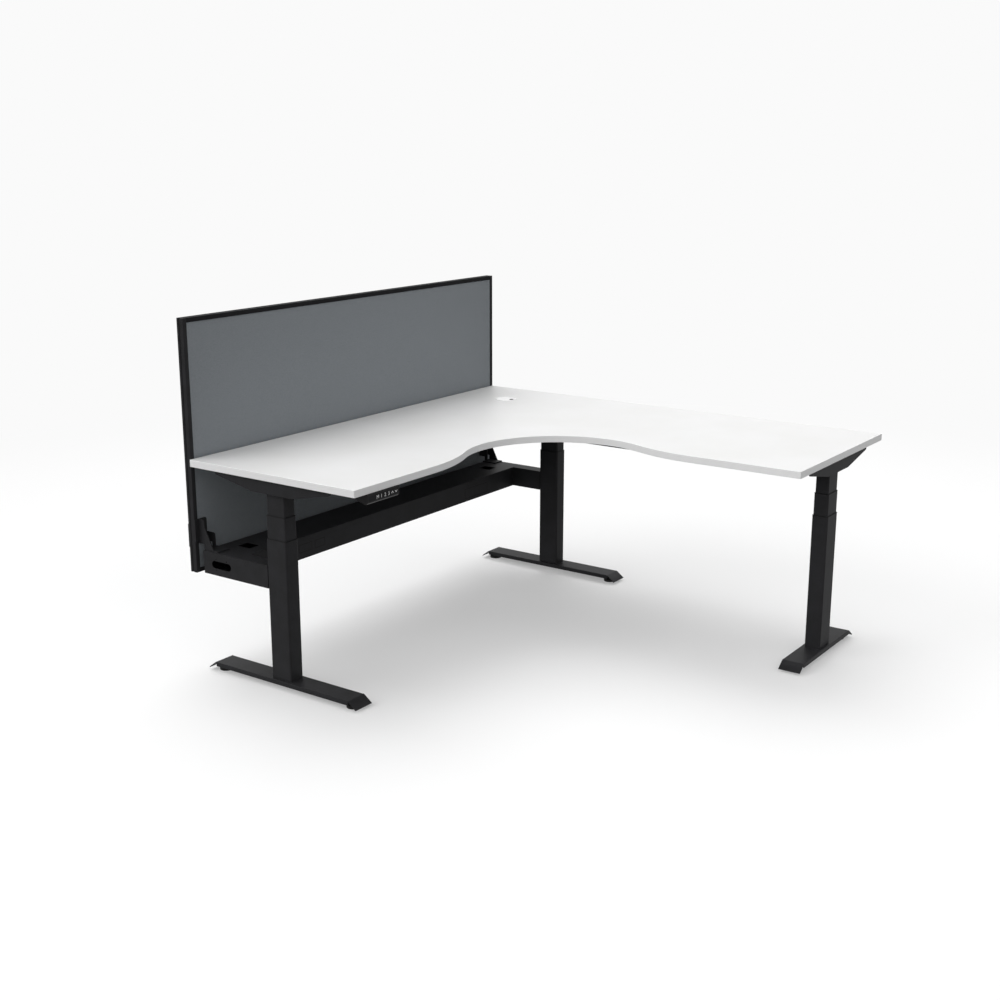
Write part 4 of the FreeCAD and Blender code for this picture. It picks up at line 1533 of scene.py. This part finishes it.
@dataclass
class Studio:
    """Floor, light and camera. Light levels are given below and above the horizon."""

    eye: tuple[float, float, float] = (-4.1085, -2.6928, 1.8561)
    yaw_deg: float = 54.811
    pitch_deg: float = 14.733
    lens_mm: float = 50.0
    sensor_mm: float = 36.0
    sight: float = 400.0
    floor_size: float = 120.0
    floor_colour: str = "#F4F4F4"
    floor_roughness: float = 0.75
    floor_shine: float = 0.1
    floor_glow: float = 0.3
    fade_from: float = 2.0
    fade_to: float = 5.0
    paper: str = "#FAFAFA"
    horizon: float = 0.15
    room_light: tuple[float, float] = (0.24, 0.2)
    mirror_light: tuple[float, float] = (0.7, 1.0)
    paper_light: tuple[float, float] = (1.0, 1.0)
    lights: tuple[SoftLight, ...] = (
        SoftLight("overhead", 0.0, 90.0, 45.0, 0.44),
        SoftLight("key", 45.0, 60.0, 45.0, 1.25),
        SoftLight("behind_screen", 90.0, 60.0, 45.0, 0.38),
        SoftLight("left_behind", 135.0, 28.0, 45.0, 1.12),
        SoftLight("left", 180.0, 28.0, 45.0, 0.58),
        SoftLight("front_left", 225.0, 36.0, 45.0, 0.42),
        SoftLight("front", 270.0, 34.0, 45.0, 0.4),
    )

    def build(self) -> None:
        """Set up everything that isn't the desk."""
        self.camera()
        self.floor()
        self.light()

    def camera(self) -> None:
        """Stand the camera where the photograph was taken from."""
        data = bpy.data.cameras.new("camera")
        data.lens = self.lens_mm
        data.sensor_width = self.sensor_mm
        data.clip_end = self.sight
        yaw = math.radians(self.yaw_deg)
        pitch = math.radians(self.pitch_deg)
        level = math.cos(pitch)
        ahead = Vector((math.sin(yaw) * level, math.cos(yaw) * level, -math.sin(pitch)))
        camera = bpy.data.objects.new("camera", data)
        camera.location = self.eye
        camera.rotation_euler = ahead.to_track_quat("-Z", "Y").to_euler()
        bpy.context.scene.collection.objects.link(camera)
        bpy.context.scene.camera = camera

    def floor(self) -> None:
        """Lay a pale floor that runs out into the background."""
        s = self.floor_size / 2
        mesh = bpy.data.meshes.new("floor")
        mesh.from_pydata([(-s, -s, 0), (s, -s, 0), (s, s, 0), (-s, s, 0)], [], [(0, 1, 2, 3)])
        on = Surface.start("pale_floor", self.floor_colour, self.floor_roughness, self.floor_shine)
        away = on.add("ShaderNodeVectorMath", {0: on.place}, operation="LENGTH").outputs["Value"]
        ends = {"From Min": self.fade_from, "From Max": self.fade_to, "To Min": self.floor_glow}
        fade = on.add("ShaderNodeMapRange", {"Value": away, **ends}, interpolation_type="SMOOTHSTEP")
        paper = on.add("ShaderNodeEmission", {"Color": linear(self.paper), "Strength": 1.0})
        blend = on.add("ShaderNodeMixShader", {0: fade, 1: on.shader, 2: paper})
        tree = on.material.node_tree
        plug(tree, tree.nodes["Material Output"].inputs["Surface"], blend)
        mesh.materials.append(on.material)
        floor = bpy.data.objects.new("floor", mesh)
        floor.visible_diffuse = False
        floor.visible_glossy = False
        floor.visible_shadow = False
        bpy.context.scene.collection.objects.link(floor)
        floor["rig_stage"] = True

    def light(self) -> None:
        """Light the room evenly, keep its paper white in view and in reflections, and hang the lights."""
        world = bpy.data.worlds.new("studio")
        bpy.context.scene.world = world
        world.use_nodes = True
        tree = world.node_tree
        ray = add(tree, "ShaderNodeLightPath").outputs
        way = add(tree, "ShaderNodeTexCoord").outputs["Generated"]
        rise = add(tree, "ShaderNodeSeparateXYZ", {"Vector": way}).outputs["Z"]
        paper = linear(self.paper)
        room = tree.nodes["Background"]
        plug(tree, room.inputs["Color"], paper)
        plug(tree, room.inputs["Strength"], self.sky(tree, rise, self.room_light))
        for levels, kind in ((self.mirror_light, "Is Glossy Ray"), (self.paper_light, "Is Camera Ray")):
            strength = self.sky(tree, rise, levels)
            layer = add(tree, "ShaderNodeBackground", {"Color": paper, "Strength": strength})
            room = add(tree, "ShaderNodeMixShader", {0: ray[kind], 1: room, 2: layer})
        plug(tree, tree.nodes["World Output"].inputs["Surface"], room)
        for light in self.lights:
            light.hang()
        bpy.context.scene.view_settings.view_transform = "Standard"

    def sky(self, tree: Tree, rise: Socket, levels: tuple[float, float]) -> Node:
        """Blend the strength of the room's light from below the horizon to above it."""
        band = {"From Min": -self.horizon, "From Max": self.horizon, "To Min": levels[0], "To Max": levels[1]}
        return add(tree, "ShaderNodeMapRange", {"Value": rise, **band})


def main() -> None:
    """Build the desk, group by group, then the studio, and work out the bounds."""
    logging.basicConfig(level=logging.INFO, format="%(message)s")
    columns = [Column(leg) for leg in Leg]
    groups = [DeskTop(), Grommet(), *columns, Levellers(), Handset(), CableDuct(), Screen(), UnderFrame(),
              Fasteners(), Studio()]
    for group in groups:
        LOG.info("Building %s", type(group).__name__)
        group.build()
    boxes = {"cad": CAD_BOX, "visual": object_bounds()}
    {name: [list(corner) for corner in box] for name, box in boxes.items()}


if __name__ == "__main__":
    main()
